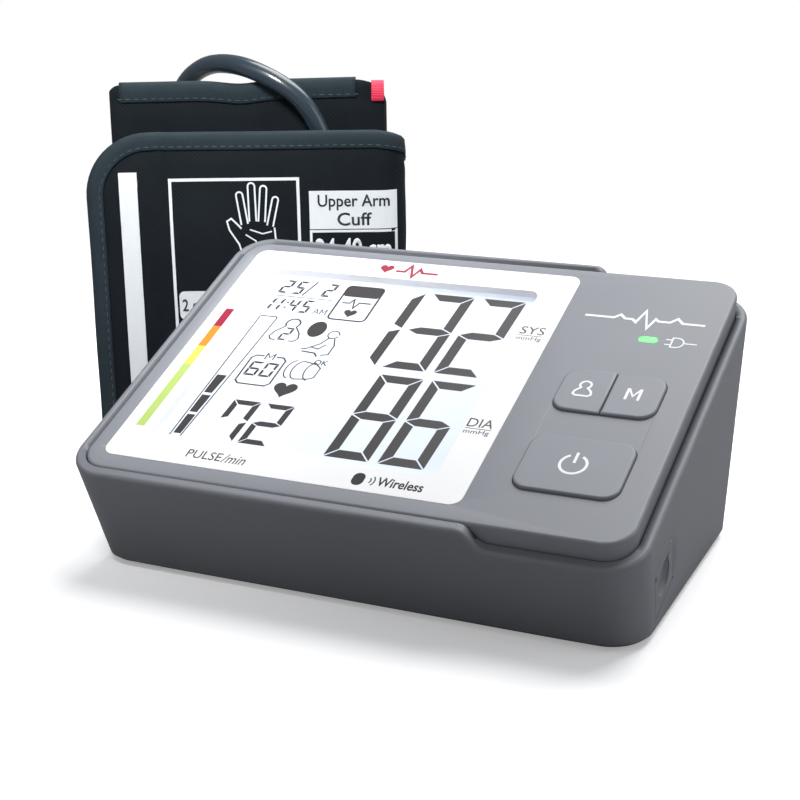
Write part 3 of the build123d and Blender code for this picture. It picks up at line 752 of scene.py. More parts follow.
    def cut(self, cell: float) -> None:
        """Cut the flat print along a square grid, so that it can bend."""
        for axis in (0, 1):
            low = min(v.co[axis] for v in self.body.verts)
            high = max(v.co[axis] for v in self.body.verts)
            normal = [0.0, 0.0, 0.0]
            normal[axis] = 1.0
            for i in range(1, int((high - low) / cell) + 1):
                spot = [0.0, 0.0, 0.0]
                spot[axis] = low + i * cell
                bmesh.ops.bisect_plane(
                    self.body, geom=self.body.verts[:] + self.body.edges[:] + self.body.faces[:],
                    plane_co=spot, plane_no=normal, dist=1e-5)

    def lay(self, cloth: BVHTree) -> None:
        """Move each point along the frame's normal until it lies on the cloth."""
        turned = self.axes.matrix().to_3x3()
        inwards = -(turned @ Vector((0, 0, 1))).normalized()
        for vertex in self.body.verts:
            start = vertex.co - inwards * 0.02
            found = cloth.ray_cast(start, inwards)[0]
            if found:
                vertex.co = found - inwards * self.thickness * MM * 0.9


LIT_BARS = {"0": "abcdef", "1": "bc", "2": "abged", "3": "abgcd", "4": "fgbc", "5": "afgcd",
            "6": "afgecd", "7": "fabc", "8": "abcdefg", "9": "abcdfg"}


# ---- the unit -----------------------------------------------------------------------------
@dataclass
class Unit:
    """The sloped desktop unit: shells, display, keys and what is printed on them.

    Args:
        face: height of the bezel's face over the panel.
        glass: height of the glass over the panel.
        key_face: height of the keys' faces over the panel.
        print_lift: how far ink stands off what it is printed on.
        glass_shift: how far the display's drawing is moved to sit centred in its window.
    """

    face: float = 0.1
    glass: float = -2.45
    key_face: float = 1.0
    print_lift: float = 0.04
    glass_shift: Point = (-1.6, 2.6)

    def build(self) -> None:
        """Build every visible piece of the unit."""
        self.shells()
        self.screen()
        self.surround()
        self.key_marks()

    def shells(self) -> None:
        """Dress the mouldings: housing, cover, surround, keys, lens, hatch, flap and feet."""
        for node, name, finish, body, slot in (
                ("lower_housing", "housing_shell", SHELL, "monitor", "grey_shell"),
                ("upper_cover", "panel_cover", COVER, "monitor", "grey_shell"),
                ("display_bezel", "screen_surround", SURROUND, "monitor", "white_surround"),
                ("lcd_glass", "screen_glass_plate", SCREEN_WITH_PAINTED_GLOW, "monitor", "display"),
                ("led_lens", "status_lens", GREEN_LENS, "monitor", "lens_green"),
                ("air_socket", "tube_socket", BLACK_PLASTIC, "monitor", "black_plastic"),
                ("rubber_feet", "round_feet", RUBBER, "monitor", "feet"),
                ("case_screws", "shell_screws", STEEL, "monitor", "steel"),
                ("power_button", "power_keycap", KEYCAP, "power_key", "key_plastic"),
                ("user_button", "user_keycap", KEYCAP, "user_key", "key_plastic"),
                ("memory_button", "memory_keycap", KEYCAP, "memory_key", "key_plastic"),
                ("battery_door", "battery_hatch_plate", SHELL, "battery_hatch", "grey_shell"),
                ("jack_cover", "jack_flap_plate", SHELL, "jack_flap", "grey_shell")):
            place(welded(node, name, finish), body, slot, node)

    def art(self, name: str, height: float, finish: Finish) -> Artwork:
        """Return an empty print on the panel."""
        return Artwork(name, PANEL, height + self.print_lift, finish)

    def glass_art(self, name: str, finish: Finish) -> Artwork:
        """Return an empty print on the glass, which sits a little up and left of its drawing."""
        middle = PANEL.at(*self.glass_shift) / MM
        return Artwork(name, Axes(tuple(middle), PANEL.across, PANEL.up),
                       self.glass + self.print_lift, finish)

    def screen(self) -> None:
        """Draw what the display shows."""
        dark = self.glass_art("screen_figures", SEGMENT)
        for text, box in (("1", (-23.5, -11.9, 65.3, 105.6)), ("3", (-11.7, 5.6, 65.3, 105.6)),
                          ("2", (6.3, 23.6, 65.3, 105.6)), ("8", (-11.9, 5.2, 21.8, 62.1)),
                          ("6", (6.0, 23.1, 21.8, 62.1))):
            dark.figure(text, box, 4.0, 0.5, 1.7)
        for text, box in (("7", (-53.3, -42.2, 22.3, 41.9)), ("2", (-41.6, -30.3, 22.3, 41.9))):
            dark.figure(text, box, 2.5, 0.36, 1.0)
        self.screen_corner(dark)
        self.screen_icons(dark)
        place(dark.make(), "monitor", "display")

    def screen_corner(self, dark: Artwork) -> None:
        """Draw the date, the time and the rhythm box."""
        for text, left in (("2", -65.4), ("5", -60.2), ("2", -48.9)):
            dark.figure(text, (left, left + 4.7, 98.0, 105.6), 1.2, 0.22, 0.9)
        dark.line([(-55.4, 97.6), (-52.9, 105.8)], 0.6)
        dark.line([(-64.8, 96.5), (-43.2, 96.5)], 0.28)
        for text, left in (("1", -67.6), ("1", -64.4), ("4", -58.2), ("5", -53.2)):
            dark.figure(text, (left, left + 4.6, 88.2, 95.5), 1.15, 0.22, 0.9)
        for y in (90.4, 93.2):
            dark.shape(arc(-58.5, y, 0.45, 0, 360 * 11 / 12, 11))
        dark.word("A", (-47.4, -45.0, 88.4, 91.3))
        dark.letter_m((-44.7, -42.3, 88.4, 91.3), 0.42)
        dark.line(rounded(-40.8, -27.2, 86.8, 105.4, 1.6), 0.7, closed=True)
        dark.shape(rounded(-40.6, -27.4, 99.6, 105.2, 1.2))
        dark.line([(-39.2, 96.0), (-36.6, 96.0), (-35.5, 98.2), (-34.2, 93.4), (-33.0, 96.6),
                   (-28.8, 96.6)], 0.65)
        dark.heart(-34.0, 90.4, 4.6)

    def screen_icons(self, dark: Artwork) -> None:
        """Draw the bar graph, the user, the memory box, the cuff and the heart."""
        dark.line([(-65.3, 21.8), (-64.9, 84.2), (-64.4, 84.8), (-58.8, 84.8), (-58.3, 84.2),
                   (-61.4, 21.8)], 0.45)
        for low, high in ((22.9, 32.2), (33.4, 42.0), (43.2, 52.4)):
            dark.shape([(-64.5, low), (-61.9 + (low - 22) * 0.016, low),
                        (-61.9 + (high - 22) * 0.036, high), (-64.4, high)])
        dark.line(arc(-51.1, 82.2, 2.5, -38, 218, 18), 0.62)
        dark.line([(-53.0, 80.6), (-55.6, 77.4), (-56.5, 74.6), (-55.4, 73.1), (-53.6, 73.0)], 0.5)
        dark.line([(-49.2, 80.6), (-46.6, 77.4), (-45.7, 74.6), (-46.8, 73.1), (-48.6, 73.0)], 0.5)
        dark.figure("2", (-53.1, -49.1, 73.0, 80.0), 1.0, 0.2, 0.5)
        dark.shape(arc(-41.4, 80.6, 3.2, 0, 354, 30, 1.32))
        dark.line(arc(-34.3, 78.6, 2.0, 0, 340, 16), 0.45)
        dark.line([(-35.2, 76.6), (-36.8, 73.4), (-40.6, 70.2), (-42.3, 70.0)], 0.5)
        dark.line([(-33.0, 76.6), (-31.6, 73.0), (-31.7, 68.4), (-34.2, 67.6)], 0.5)
        dark.line([(-39.6, 71.4), (-36.4, 70.6), (-34.6, 73.2)], 0.5)
        dark.line([(-41.6, 68.8), (-36.6, 68.4), (-35.2, 66.8)], 0.6)
        dark.line([(-52.9, 64.2), (-55.6, 64.2), (-57.0, 62.8), (-57.0, 51.0), (-55.6, 49.6),
                   (-45.8, 49.6), (-44.4, 51.0), (-44.4, 62.8), (-45.8, 64.2), (-48.4, 64.2)], 0.6)
        dark.letter_m((-52.4, -49.0, 62.6, 65.8), 0.5)
        for text, left in (("6", -56.0), ("0", -50.6)):
            dark.figure(text, (left, left + 5.1, 53.8, 61.2), 1.1, 0.2, 0.5)
        for x in (-40.0, -37.6, -33.0):
            dark.line(arc(x, 59.2, 2.6, 95, 265, 14, 1.75), 0.45)
        dark.line([(-37.8, 63.8), (-32.9, 62.8), (-31.0, 61.2), (-31.2, 56.4), (-32.9, 55.4),
                   (-37.8, 54.6)], 0.45)
        dark.word("OK", (-34.5, -29.6, 62.7, 65.3), 0.015)
        dark.heart(-38.1, 48.6, 8.2)

    def surround(self) -> None:
        """Print the surround: colour scale, heart, units and the wireless mark."""
        for name, finish, low, high in (("scale_green", GREEN_INK, 24.0, 55.5),
                                        ("scale_yellow", YELLOW_INK, 55.5, 65.3),
                                        ("scale_orange", ORANGE_INK, 65.3, 76.2),
                                        ("scale_red", RED_INK, 76.2, 86.0)):
            block = self.art(name, self.face, finish)
            block.shape([(-78.3, low), (-75.2, low), (-75.2, high), (-78.3, high)])
            place(block.make(), "monitor", "white_surround")
        red = self.art("rhythm_mark", self.face, RED_INK)
        red.heart(-31.4, 115.9, 5.0)
        red.line([(-27.6, 115.3), (-24.4, 115.3), (-22.9, 118.9), (-20.9, 112.7), (-19.2, 117.3),
                  (-17.9, 115.3), (-12.2, 115.3)], 1.05)
        place(red.make(), "monitor", "white_surround")
        grey = self.art("unit_words", self.face, GREY_INK)
        grey.word("PULSE", (-54.3, -42.3, 13.3, 16.8))
        grey.word("/min", (-41.9, -34.0, 13.1, 16.9), 0.0, 0.2)
        for word, foot in (("SYS", 88.8), ("DIA", 43.0)):
            grey.word(word, (26.3, 34.4, foot, foot + 3.8))
            grey.word("mmHg", (26.3, 34.4, foot - 3.6, foot - 1.2))
            grey.line([(26.2, foot - 0.75), (34.6, foot - 0.75)], 0.22)
        place(grey.make(), "monitor", "white_surround")
        black = self.art("wireless_mark", self.face, BLACK_INK)
        black.shape(rounded(1.8, 5.6, 12.0, 17.2, 1.85))
        for radius in (1.5, 2.7):
            black.line(arc(6.2, 14.6, radius, -42, 42, 8), 0.4)
        black.word("Wireless", (9.8, 24.3, 12.9, 16.6), 0.018)
        place(black.make(), "monitor", "white_surround")

    def key_marks(self) -> None:
        """Print the marks on the keys and beside the lens."""
        power = self.art("power_symbol", self.key_face, WHITE_INK)
        x, y = 63.4, 31.9
        power.line(arc(x, y, 3.9, 118, 422, 30), 0.85)
        power.line([(x, y + 0.6), (x, y + 5.0)], 0.85)
        place(power.make(), "power_key", "key_plastic")
        person = self.art("user_symbol", self.key_face, WHITE_INK)
        x, y = 55.8, 64.6
        person.line(arc(x, y + 2.0, 1.7, -52, 232, 18)
                    + [(x - 2.5, y - 0.9), (x - 2.8, y - 2.3), (x - 2.0, y - 3.0),
                       (x + 2.0, y - 3.0), (x + 2.8, y - 2.3), (x + 2.5, y - 0.9)], 0.7, True)
        place(person.make(), "user_key", "key_plastic")
        letter = self.art("memory_letter", self.key_face, WHITE_INK)
        letter.letter_m((68.6, 73.3, 62.2, 67.4), 0.85)
        place(letter.make(), "memory_key", "key_plastic")
        beside = self.art("supply_symbol", 0.0, WHITE_INK)
        beside.line(arc(76.0, 92.0, 2.3, 90, -90, 14), 0.5)
        beside.line([(76.0, 94.3), (74.6, 94.3), (74.6, 89.7), (76.0, 89.7)], 0.5)
        for lift in (-1.2, 1.2):
            beside.line([(72.6, 92.0 + lift), (74.6, 92.0 + lift)], 0.5)
        beside.line([(78.2, 92.0), (82.4, 92.0)], 0.5)
        place(beside.make(), "monitor", "grey_shell")
        pulse = self.art("panel_pulse_line", 0.0, WHITE_INK)
        pulse.line([(44.0, 101.6), (53.4, 101.6), (55.2, 103.4), (57.0, 101.6), (59.4, 101.6),
                    (60.8, 100.2), (62.6, 106.4), (65.0, 97.6), (66.6, 102.6), (67.8, 101.6),
                    (71.4, 101.6), (73.4, 103.8), (75.4, 101.6), (82.4, 101.6)], 0.95)
        place(pulse.make(), "monitor", "grey_shell")


@dataclass
class Works:
    """What is inside the unit: the board, the air circuit, the cells and their fittings."""

    slots: dict[Finish, tuple[str, ...]] = field(default_factory=lambda: {
        LACQUER: ("main_pcb",),
        CHIP: ("control_chips",),
        SILVER_CAN: ("pump_motor", "wireless_module"),
        STEEL: ("pcb_screws", "contact_tabs", "contact_springs", "pump_rotor", "valve_plunger"),
        BLACK_PLASTIC: ("pump_head", "dc_jack", "buzzer", "tact_switches", "release_valve"),
        NATURAL: ("lcd_backlight", "lcd_frame", "status_led", "pressure_sensor", "jack_foot"),
        RUBBER: ("zebra_strips",),
        FOAM: ("pump_cushion",),
        SOFT_LINE: ("air_manifold",),
        SLEEVE: ("aa_batteries",),
        LEAD: ("power_leads",),
    })

    def build(self) -> None:
        """Give each inner node its finish."""
        for finish, nodes in self.slots.items():
            for node in nodes:
                self.paint(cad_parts[node], finish)

    def paint(self, node: bpy.types.Object, finish: Finish) -> None:
        """Set one node's finish."""
        if not node.material_slots:
            node.data.materials.append(None)
        for holder in node.material_slots:
            holder.material = finish.make()
        LOG.info("%s is finished in %s", node.name, finish.name)


# ---- the cuff -----------------------------------------------------------------------------
@dataclass(frozen=True)
class Course:
    """A line seen from above, made of straight runs and arcs, in the cuff's plan frame.

    Args:
        start: its first point.
        heading: its first direction in degrees.
        runs: each run's length and then its turn in degrees and that arc's radius.
    """

    start: Point
    heading: float
    runs: tuple[tuple[float, float, float], ...]

    def length(self) -> float:
        """Return its length in millimetres."""
        return sum(run + abs(math.radians(turn)) * radius for run, turn, radius in self.runs)

    def at(self, s: float) -> tuple[Vector, Vector]:
        """Return the point at a distance along it, and the direction to its right there.

        Args:
            s: distance from its start, which may lie before or past its ends.

        Returns:
            The point and the unit vector to the right.
        """
        spot, angle = Vector(self.start), math.radians(self.heading)
        last = len(self.runs) - 1
        for i, (run, turn, radius) in enumerate(self.runs):
            along = Vector((math.cos(angle), math.sin(angle)))
            bend = abs(math.radians(turn)) * radius
            if s <= run or (i == last and not bend):
                return spot + along * s, Vector((along.y, -along.x))
            spot, s = spot + along * run, s - run
            way = 1 if turn > 0 else -1
            centre = spot + Vector((-along.y, along.x)) * radius * way
            swept = min(s, bend) / radius if radius else 0.0
            angle += way * swept
            out = Vector((math.sin(angle), -math.cos(angle)))
            if s <= bend or i == last:
                return centre + out * radius * way, out
            spot, s = centre + out * radius * way, s - bend
        return spot, Vector((math.sin(angle), -math.cos(angle)))


@dataclass
class Layer:
    """One padded layer of the cuff: it stands on its lower edge and follows a course.

    Args:
        name: the piece's name.
        course: its middle line seen from above.
        height: its height at the start of the course.
        thickness: its padded thickness.
        first_corner: radius of the top corner at the start.
        last_corner: radius of the top corner at the end.
        rise: how much higher its end is than its start.
        swell: how far its surface wanders from flat.
        seed: where its wandering is read from.
        creases: places along the course with a soft upright groove, and its depth.
        bound: width of the binding, or 0 where it has none.
        quilt: how much thinner it is at its seams.
        pressed: share of its thickness that is left under the tape.
        foot: height of its lower edge.
        bound_sides: whether the binding also runs down the two ends.
        bound_end: how far before the end the top's binding stops.
        slump: where along the course its top starts and stops falling, and by how much.
        dip: middle, width and depth of a soft dent in its top edge.
    """

    name: str
    course: Course
    height: float
    thickness: float
    first_corner: float = 0.0
    last_corner: float = 0.0
    rise: float = 0.0
    swell: float = 0.5
    seed: float = 0.0
    creases: tuple[Point, ...] = ()
    bound: float = 6.0
    quilt: float = 0.35
    pressed: float = 0.82
    foot: float = 0.4
    bound_sides: bool = True
    bound_end: float = 0.0
    slump: tuple[float, float, float] = (0.0, 1.0, 0.0)
    dip: tuple[float, float, float] = (0.0, 1.0, 0.0)

    def level(self, s: float) -> float:
        """Return the height of the top edge, leaving out its corners."""
        low, high, drop = self.slump
        share = min(1.0, max(0.0, (s - low) / (high - low)))
        dent = self.dip[2] * math.exp(-((s - self.dip[0]) / self.dip[1]) ** 2)
        return (self.height + self.rise * s / self.course.length() - dent
                - drop * share * share * (3 - 2 * share))

    def top(self, s: float) -> float:
        """Return the height of the top edge at a distance along the course."""
        length = self.course.length()
        top = self.level(s)
        for reach, radius in ((s, self.first_corner), (length - s, self.last_corner)):
            if reach < radius:
                top -= radius - math.sqrt(max(0.0, radius ** 2 - (radius - reach) ** 2))
        return top

    def edge_distance(self, s: float, z: float) -> float:
        """Return how far a point is from the nearest free edge."""
        length = self.course.length()
        nearest = min(s, length - s, z - self.foot, self.top(s) - z)
        for reach, radius in ((s, self.first_corner), (length - s, self.last_corner)):
            level = z - (self.level(s) - radius)
            if reach < radius and level > 0:
                nearest = min(nearest, radius - math.hypot(radius - reach, level))
        return max(0.0, nearest)

    def wander(self, s: float, z: float) -> float:
        """Return how far the cloth stands off its flat place."""
        spot = Vector((s / 38, z / 34, self.seed))
        fine = Vector((s / 13, z / 15, self.seed + 9))
        offset = self.swell * (noise.noise(spot) + 0.35 * noise.noise(fine))
        for place_s, depth in self.creases:
            offset -= depth * math.exp(-((s - place_s - 0.02 * z) / 1.9) ** 2)
        return offset * min(1.0, 0.25 + z / 40)

    def half(self, s: float, z: float) -> float:
        """Return half the thickness at a point: thin at the seams, full between them."""
        near = self.edge_distance(s, z)
        inner = (near if self.bound_sides else self.top(s) - z) - self.bound
        seam = self.quilt * math.exp(-(inner / 1.6) ** 2)
        edge = 1.0 if inner > 0 or not self.bound else self.pressed
        if not self.bound or not self.bound_sides:
            edge *= math.sqrt(max(0.02, min(1.0, near / 3.0)))
        return self.thickness / 2 * edge * (1 - seam)

    def spot(self, s: float, z: float, off: float) -> Vector:
        """Return a point of the layer, in the row's metres.

        Args:
            s: distance along the course.
            z: height.
            off: distance off the middle surface, to the right of the course.

        Returns:
            The point.
        """
        flat, out = self.course.at(s)
        flat = flat + out * (self.wander(s, z) + off)
        return CUFF_PLAN.at(flat.x, flat.y, z)

    def stations(self) -> list[float]:
        """Return the distances along the course where the cloth has a column."""
        length, edge = self.course.length(), 0.6
        first, last = max(self.first_corner, 3.0), max(self.last_corner, 3.0)
        start = [edge + (first - edge) * (1 - math.cos(math.pi / 2 * i / 10)) for i in range(10)]
        end = [length - s for s in reversed(start[:])]
        count = max(4, round((length - first - last) / 2.1))
        middle = [first + (length - first - last) * i / count for i in range(count + 1)]
        return start + middle + end

    def levels(self, s: float) -> list[float]:
        """Return the heights of a column's points."""
        low, high, count = self.foot + 0.6, self.top(s) - 0.6, 52
        return [low + (high - low) * i / count for i in range(count + 1)]

    def cloth(self, finish: Finish) -> bpy.types.Object:
        """Make the padded cloth itself.

        Args:
            finish: its cloth.

        Returns:
            The object, a closed form.
        """
        rows, maps = [], []
        for s in self.stations():
            levels = self.levels(s)
            front = [self.spot(s, z, self.half(s, z)) for z in levels]
            back = [self.spot(s, z, -self.half(s, z)) for z in reversed(levels)]
            rows.append(front + back)
            maps.append([(s * MM, z * MM) for z in levels]
                        + [((s + 400) * MM, z * MM) for z in reversed(levels)])
        mesh = grid_mesh(self.name, rows, around=True, caps=False, maps=maps)
        return fill_out(show(self.name, self.close(mesh), finish), levels=1)

    def close(self, mesh: bpy.types.Mesh) -> bpy.types.Mesh:
        """Return the cloth with its two ends closed by strips between its faces."""
        count = len(self.levels(0.0)) * 2
        body = bmesh.new()
        body.from_mesh(mesh)
        body.verts.ensure_lookup_table()
        layer = body.loops.layers.uv["cloth"]
        total = len(body.verts)
        for base in (0, total - count):
            for i in range(count // 2 - 1):
                ring = (base + i, base + i + 1, base + count - 2 - i, base + count - 1 - i)
                face = body.faces.new([body.verts[k] for k in ring])
                for loop in face.loops:
                    loop[layer].uv = (loop.vert.co.x, loop.vert.co.z)
        bmesh.ops.recalc_face_normals(body, faces=body.faces)
        return finished(body, self.name)

    def edge_line(self) -> list[tuple[float, float, float, float]]:
        """Return the free edge from the foot at the start, over the top, to the foot at the end.

        Returns:
            For each station its distance along the course, its height and the way inwards.
        """
        length, low = self.course.length(), self.foot + 0.2
        line: list[tuple[float, float, float, float]] = []
        first, last = self.first_corner, self.last_corner
        if not self.bound_sides:
            steps = round((length - first - self.bound_end) / 2)
            return [(s, self.level(s), 0.0, -1.0) for s in
                    (first + (length - first - self.bound_end) * i / steps
                     for i in range(steps + 1))]
        top = self.level(0.0) - first
        line += [(0.0, low + (top - low) * i / 40, 1.0, 0.0) for i in range(40)]
        if first:
            line += [(first - first * math.cos(t), top + first * math.sin(t), math.cos(t),
                      -math.sin(t)) for t in (math.pi / 2 * i / 14 for i in range(14))]
        steps = round((length - first - last) / 2)
        for i in range(steps + 1):
            s = first + (length - first - last) * i / steps
            line.append((s, self.level(s), 0.0, -1.0))
        end_top = self.level(length) - last
        if last:
            line += [(length - last + last * math.sin(t), end_top + last * math.cos(t),
                      -math.sin(t), -math.cos(t)) for t in (math.pi / 2 * i / 14
                                                            for i in range(1, 14))]
        line += [(length, end_top - (end_top - low) * i / 40, -1.0, 0.0) for i in range(41)]
        return line

    def binding(self, finish: Finish) -> bpy.types.Object:
        """Make the tape that wraps the free edge.

        Args:
            finish: its finish.

        Returns:
            The object, a closed strip.
        """
        wide = self.bound
        high = self.thickness / 2 * self.pressed + 0.42
        section = [(wide, high - 0.4), (wide, high - 0.06), (wide - 0.5, high), (wide / 2, high + 0.12),
                   (0.9, high), (0.0, high * 0.62), (-0.3, 0.0), (0.0, -high * 0.62), (0.9, -high),
                   (wide / 2, -high - 0.12), (wide - 0.5, -high), (wide, -high + 0.06),
                   (wide, -high + 0.4), (1.0, -high + 0.5), (0.5, 0.0), (1.0, high - 0.5)]
        rows, maps, walked = [], [], 0.0
        line = self.edge_line()
        for i, (s, z, in_s, in_z) in enumerate(line):
            if i:
                walked += math.hypot(s - line[i - 1][0], z - line[i - 1][1])
            pull = 0.12 * math.sin(walked / 2.6)
            rows.append([self.spot(s + in_s * w, z + in_z * w, off * (1 + 0.04 * pull))
                         for w, off in section])
            maps.append([(walked * MM, k * MM) for k in range(len(section))])
        return show(self.name + "_binding",
                    grid_mesh(self.name + "_binding", rows, around=True, caps=True, maps=maps),
                    finish)

    def stitch_lines(self, inside: float) -> list[list[Vector]]:
        """Return the two lines of stitches on the binding, one on each face."""
        high = self.thickness / 2 * self.pressed + 0.5
        return [[self.spot(s + in_s * inside, z + in_z * inside, side * high)
                 for s, z, in_s, in_z in self.edge_line()] for side in (1, -1)]


class StitchTree:
    """A Geometry Nodes tree that lays stitches along lines."""

    def __init__(self, name: str, finish: Finish) -> None:
        """Build the tree.

        Args:
            name: its name.
            finish: the thread.
        """
        self.tree = tree = bpy.data.node_groups.new(name, "GeometryNodeTree")
        face = tree.interface
        face.new_socket("Geometry", in_out="INPUT", socket_type="NodeSocketGeometry")
        self.inputs = {label: face.new_socket(label, in_out="INPUT", socket_type="NodeSocketFloat")
                       for label in ("Pitch", "Length", "Radius")}
        face.new_socket("Geometry", in_out="OUTPUT", socket_type="NodeSocketGeometry")
        given = add_node(tree, "NodeGroupInput").outputs
        curve = add_node(tree, "GeometryNodeMeshToCurve", {0: given["Geometry"]})
        spaced = add_node(tree, "GeometryNodeResampleCurve",
                          {"Curve": curve.outputs[0], "Length": given["Pitch"]}, mode="LENGTH")
        tangent = add_node(tree, "GeometryNodeInputTangent")
        turn = add_node(tree, "FunctionNodeAlignRotationToVector",
                        {"Vector": tangent.outputs[0]}, axis="Z")
        bead = add_node(tree, "GeometryNodeMeshUVSphere",
                        {"Segments": 6, "Rings": 5, "Radius": 1.0})
        size = add_node(tree, "ShaderNodeCombineXYZ",
                        {0: given["Radius"], 1: given["Radius"], 2: given["Length"]})
        laid = add_node(tree, "GeometryNodeInstanceOnPoints", {
            "Points": spaced.outputs[0], "Instance": bead.outputs["Mesh"],
            "Rotation": turn.outputs[0], "Scale": size.outputs[0]})
        real = add_node(tree, "GeometryNodeRealizeInstances", {0: laid.outputs[0]})
        dress = add_node(tree, "GeometryNodeSetMaterial",
                         {0: real.outputs[0], "Material": finish.make()})
        add_node(tree, "NodeGroupOutput", {0: dress.outputs[0]})

    def sew(self, name: str, lines: Iterable[Sequence[Vector]], pitch: float = 3.1,
            length: float = 1.0, radius: float = 0.17) -> bpy.types.Object:
        """Lay stitches along lines.

        Args:
            name: the piece's name.
            lines: the lines, in the row's metres.
            pitch: distance between stitches.
            length: half a stitch's length.
            radius: half the thread's thickness.

        Returns:
            The stitches as one plain mesh object.
        """
        mesh = bpy.data.meshes.new(name)
        points, edges = [], []
        for line in lines:
            first = len(points)
            points += [tuple(p) for p in line]
            edges += [(i, i + 1) for i in range(first, len(points) - 1)]
        mesh.from_pydata(points, edges, [])
        thing = show(name, mesh)
        nodes = thing.modifiers.new("stitches", "NODES")
        nodes.node_group = self.tree
        for label, value in (("Pitch", pitch), ("Length", length), ("Radius", radius)):
            nodes[self.inputs[label].identifier] = value * MM
        thing = settle(thing)
        thing.data.shade_smooth()
        return thing


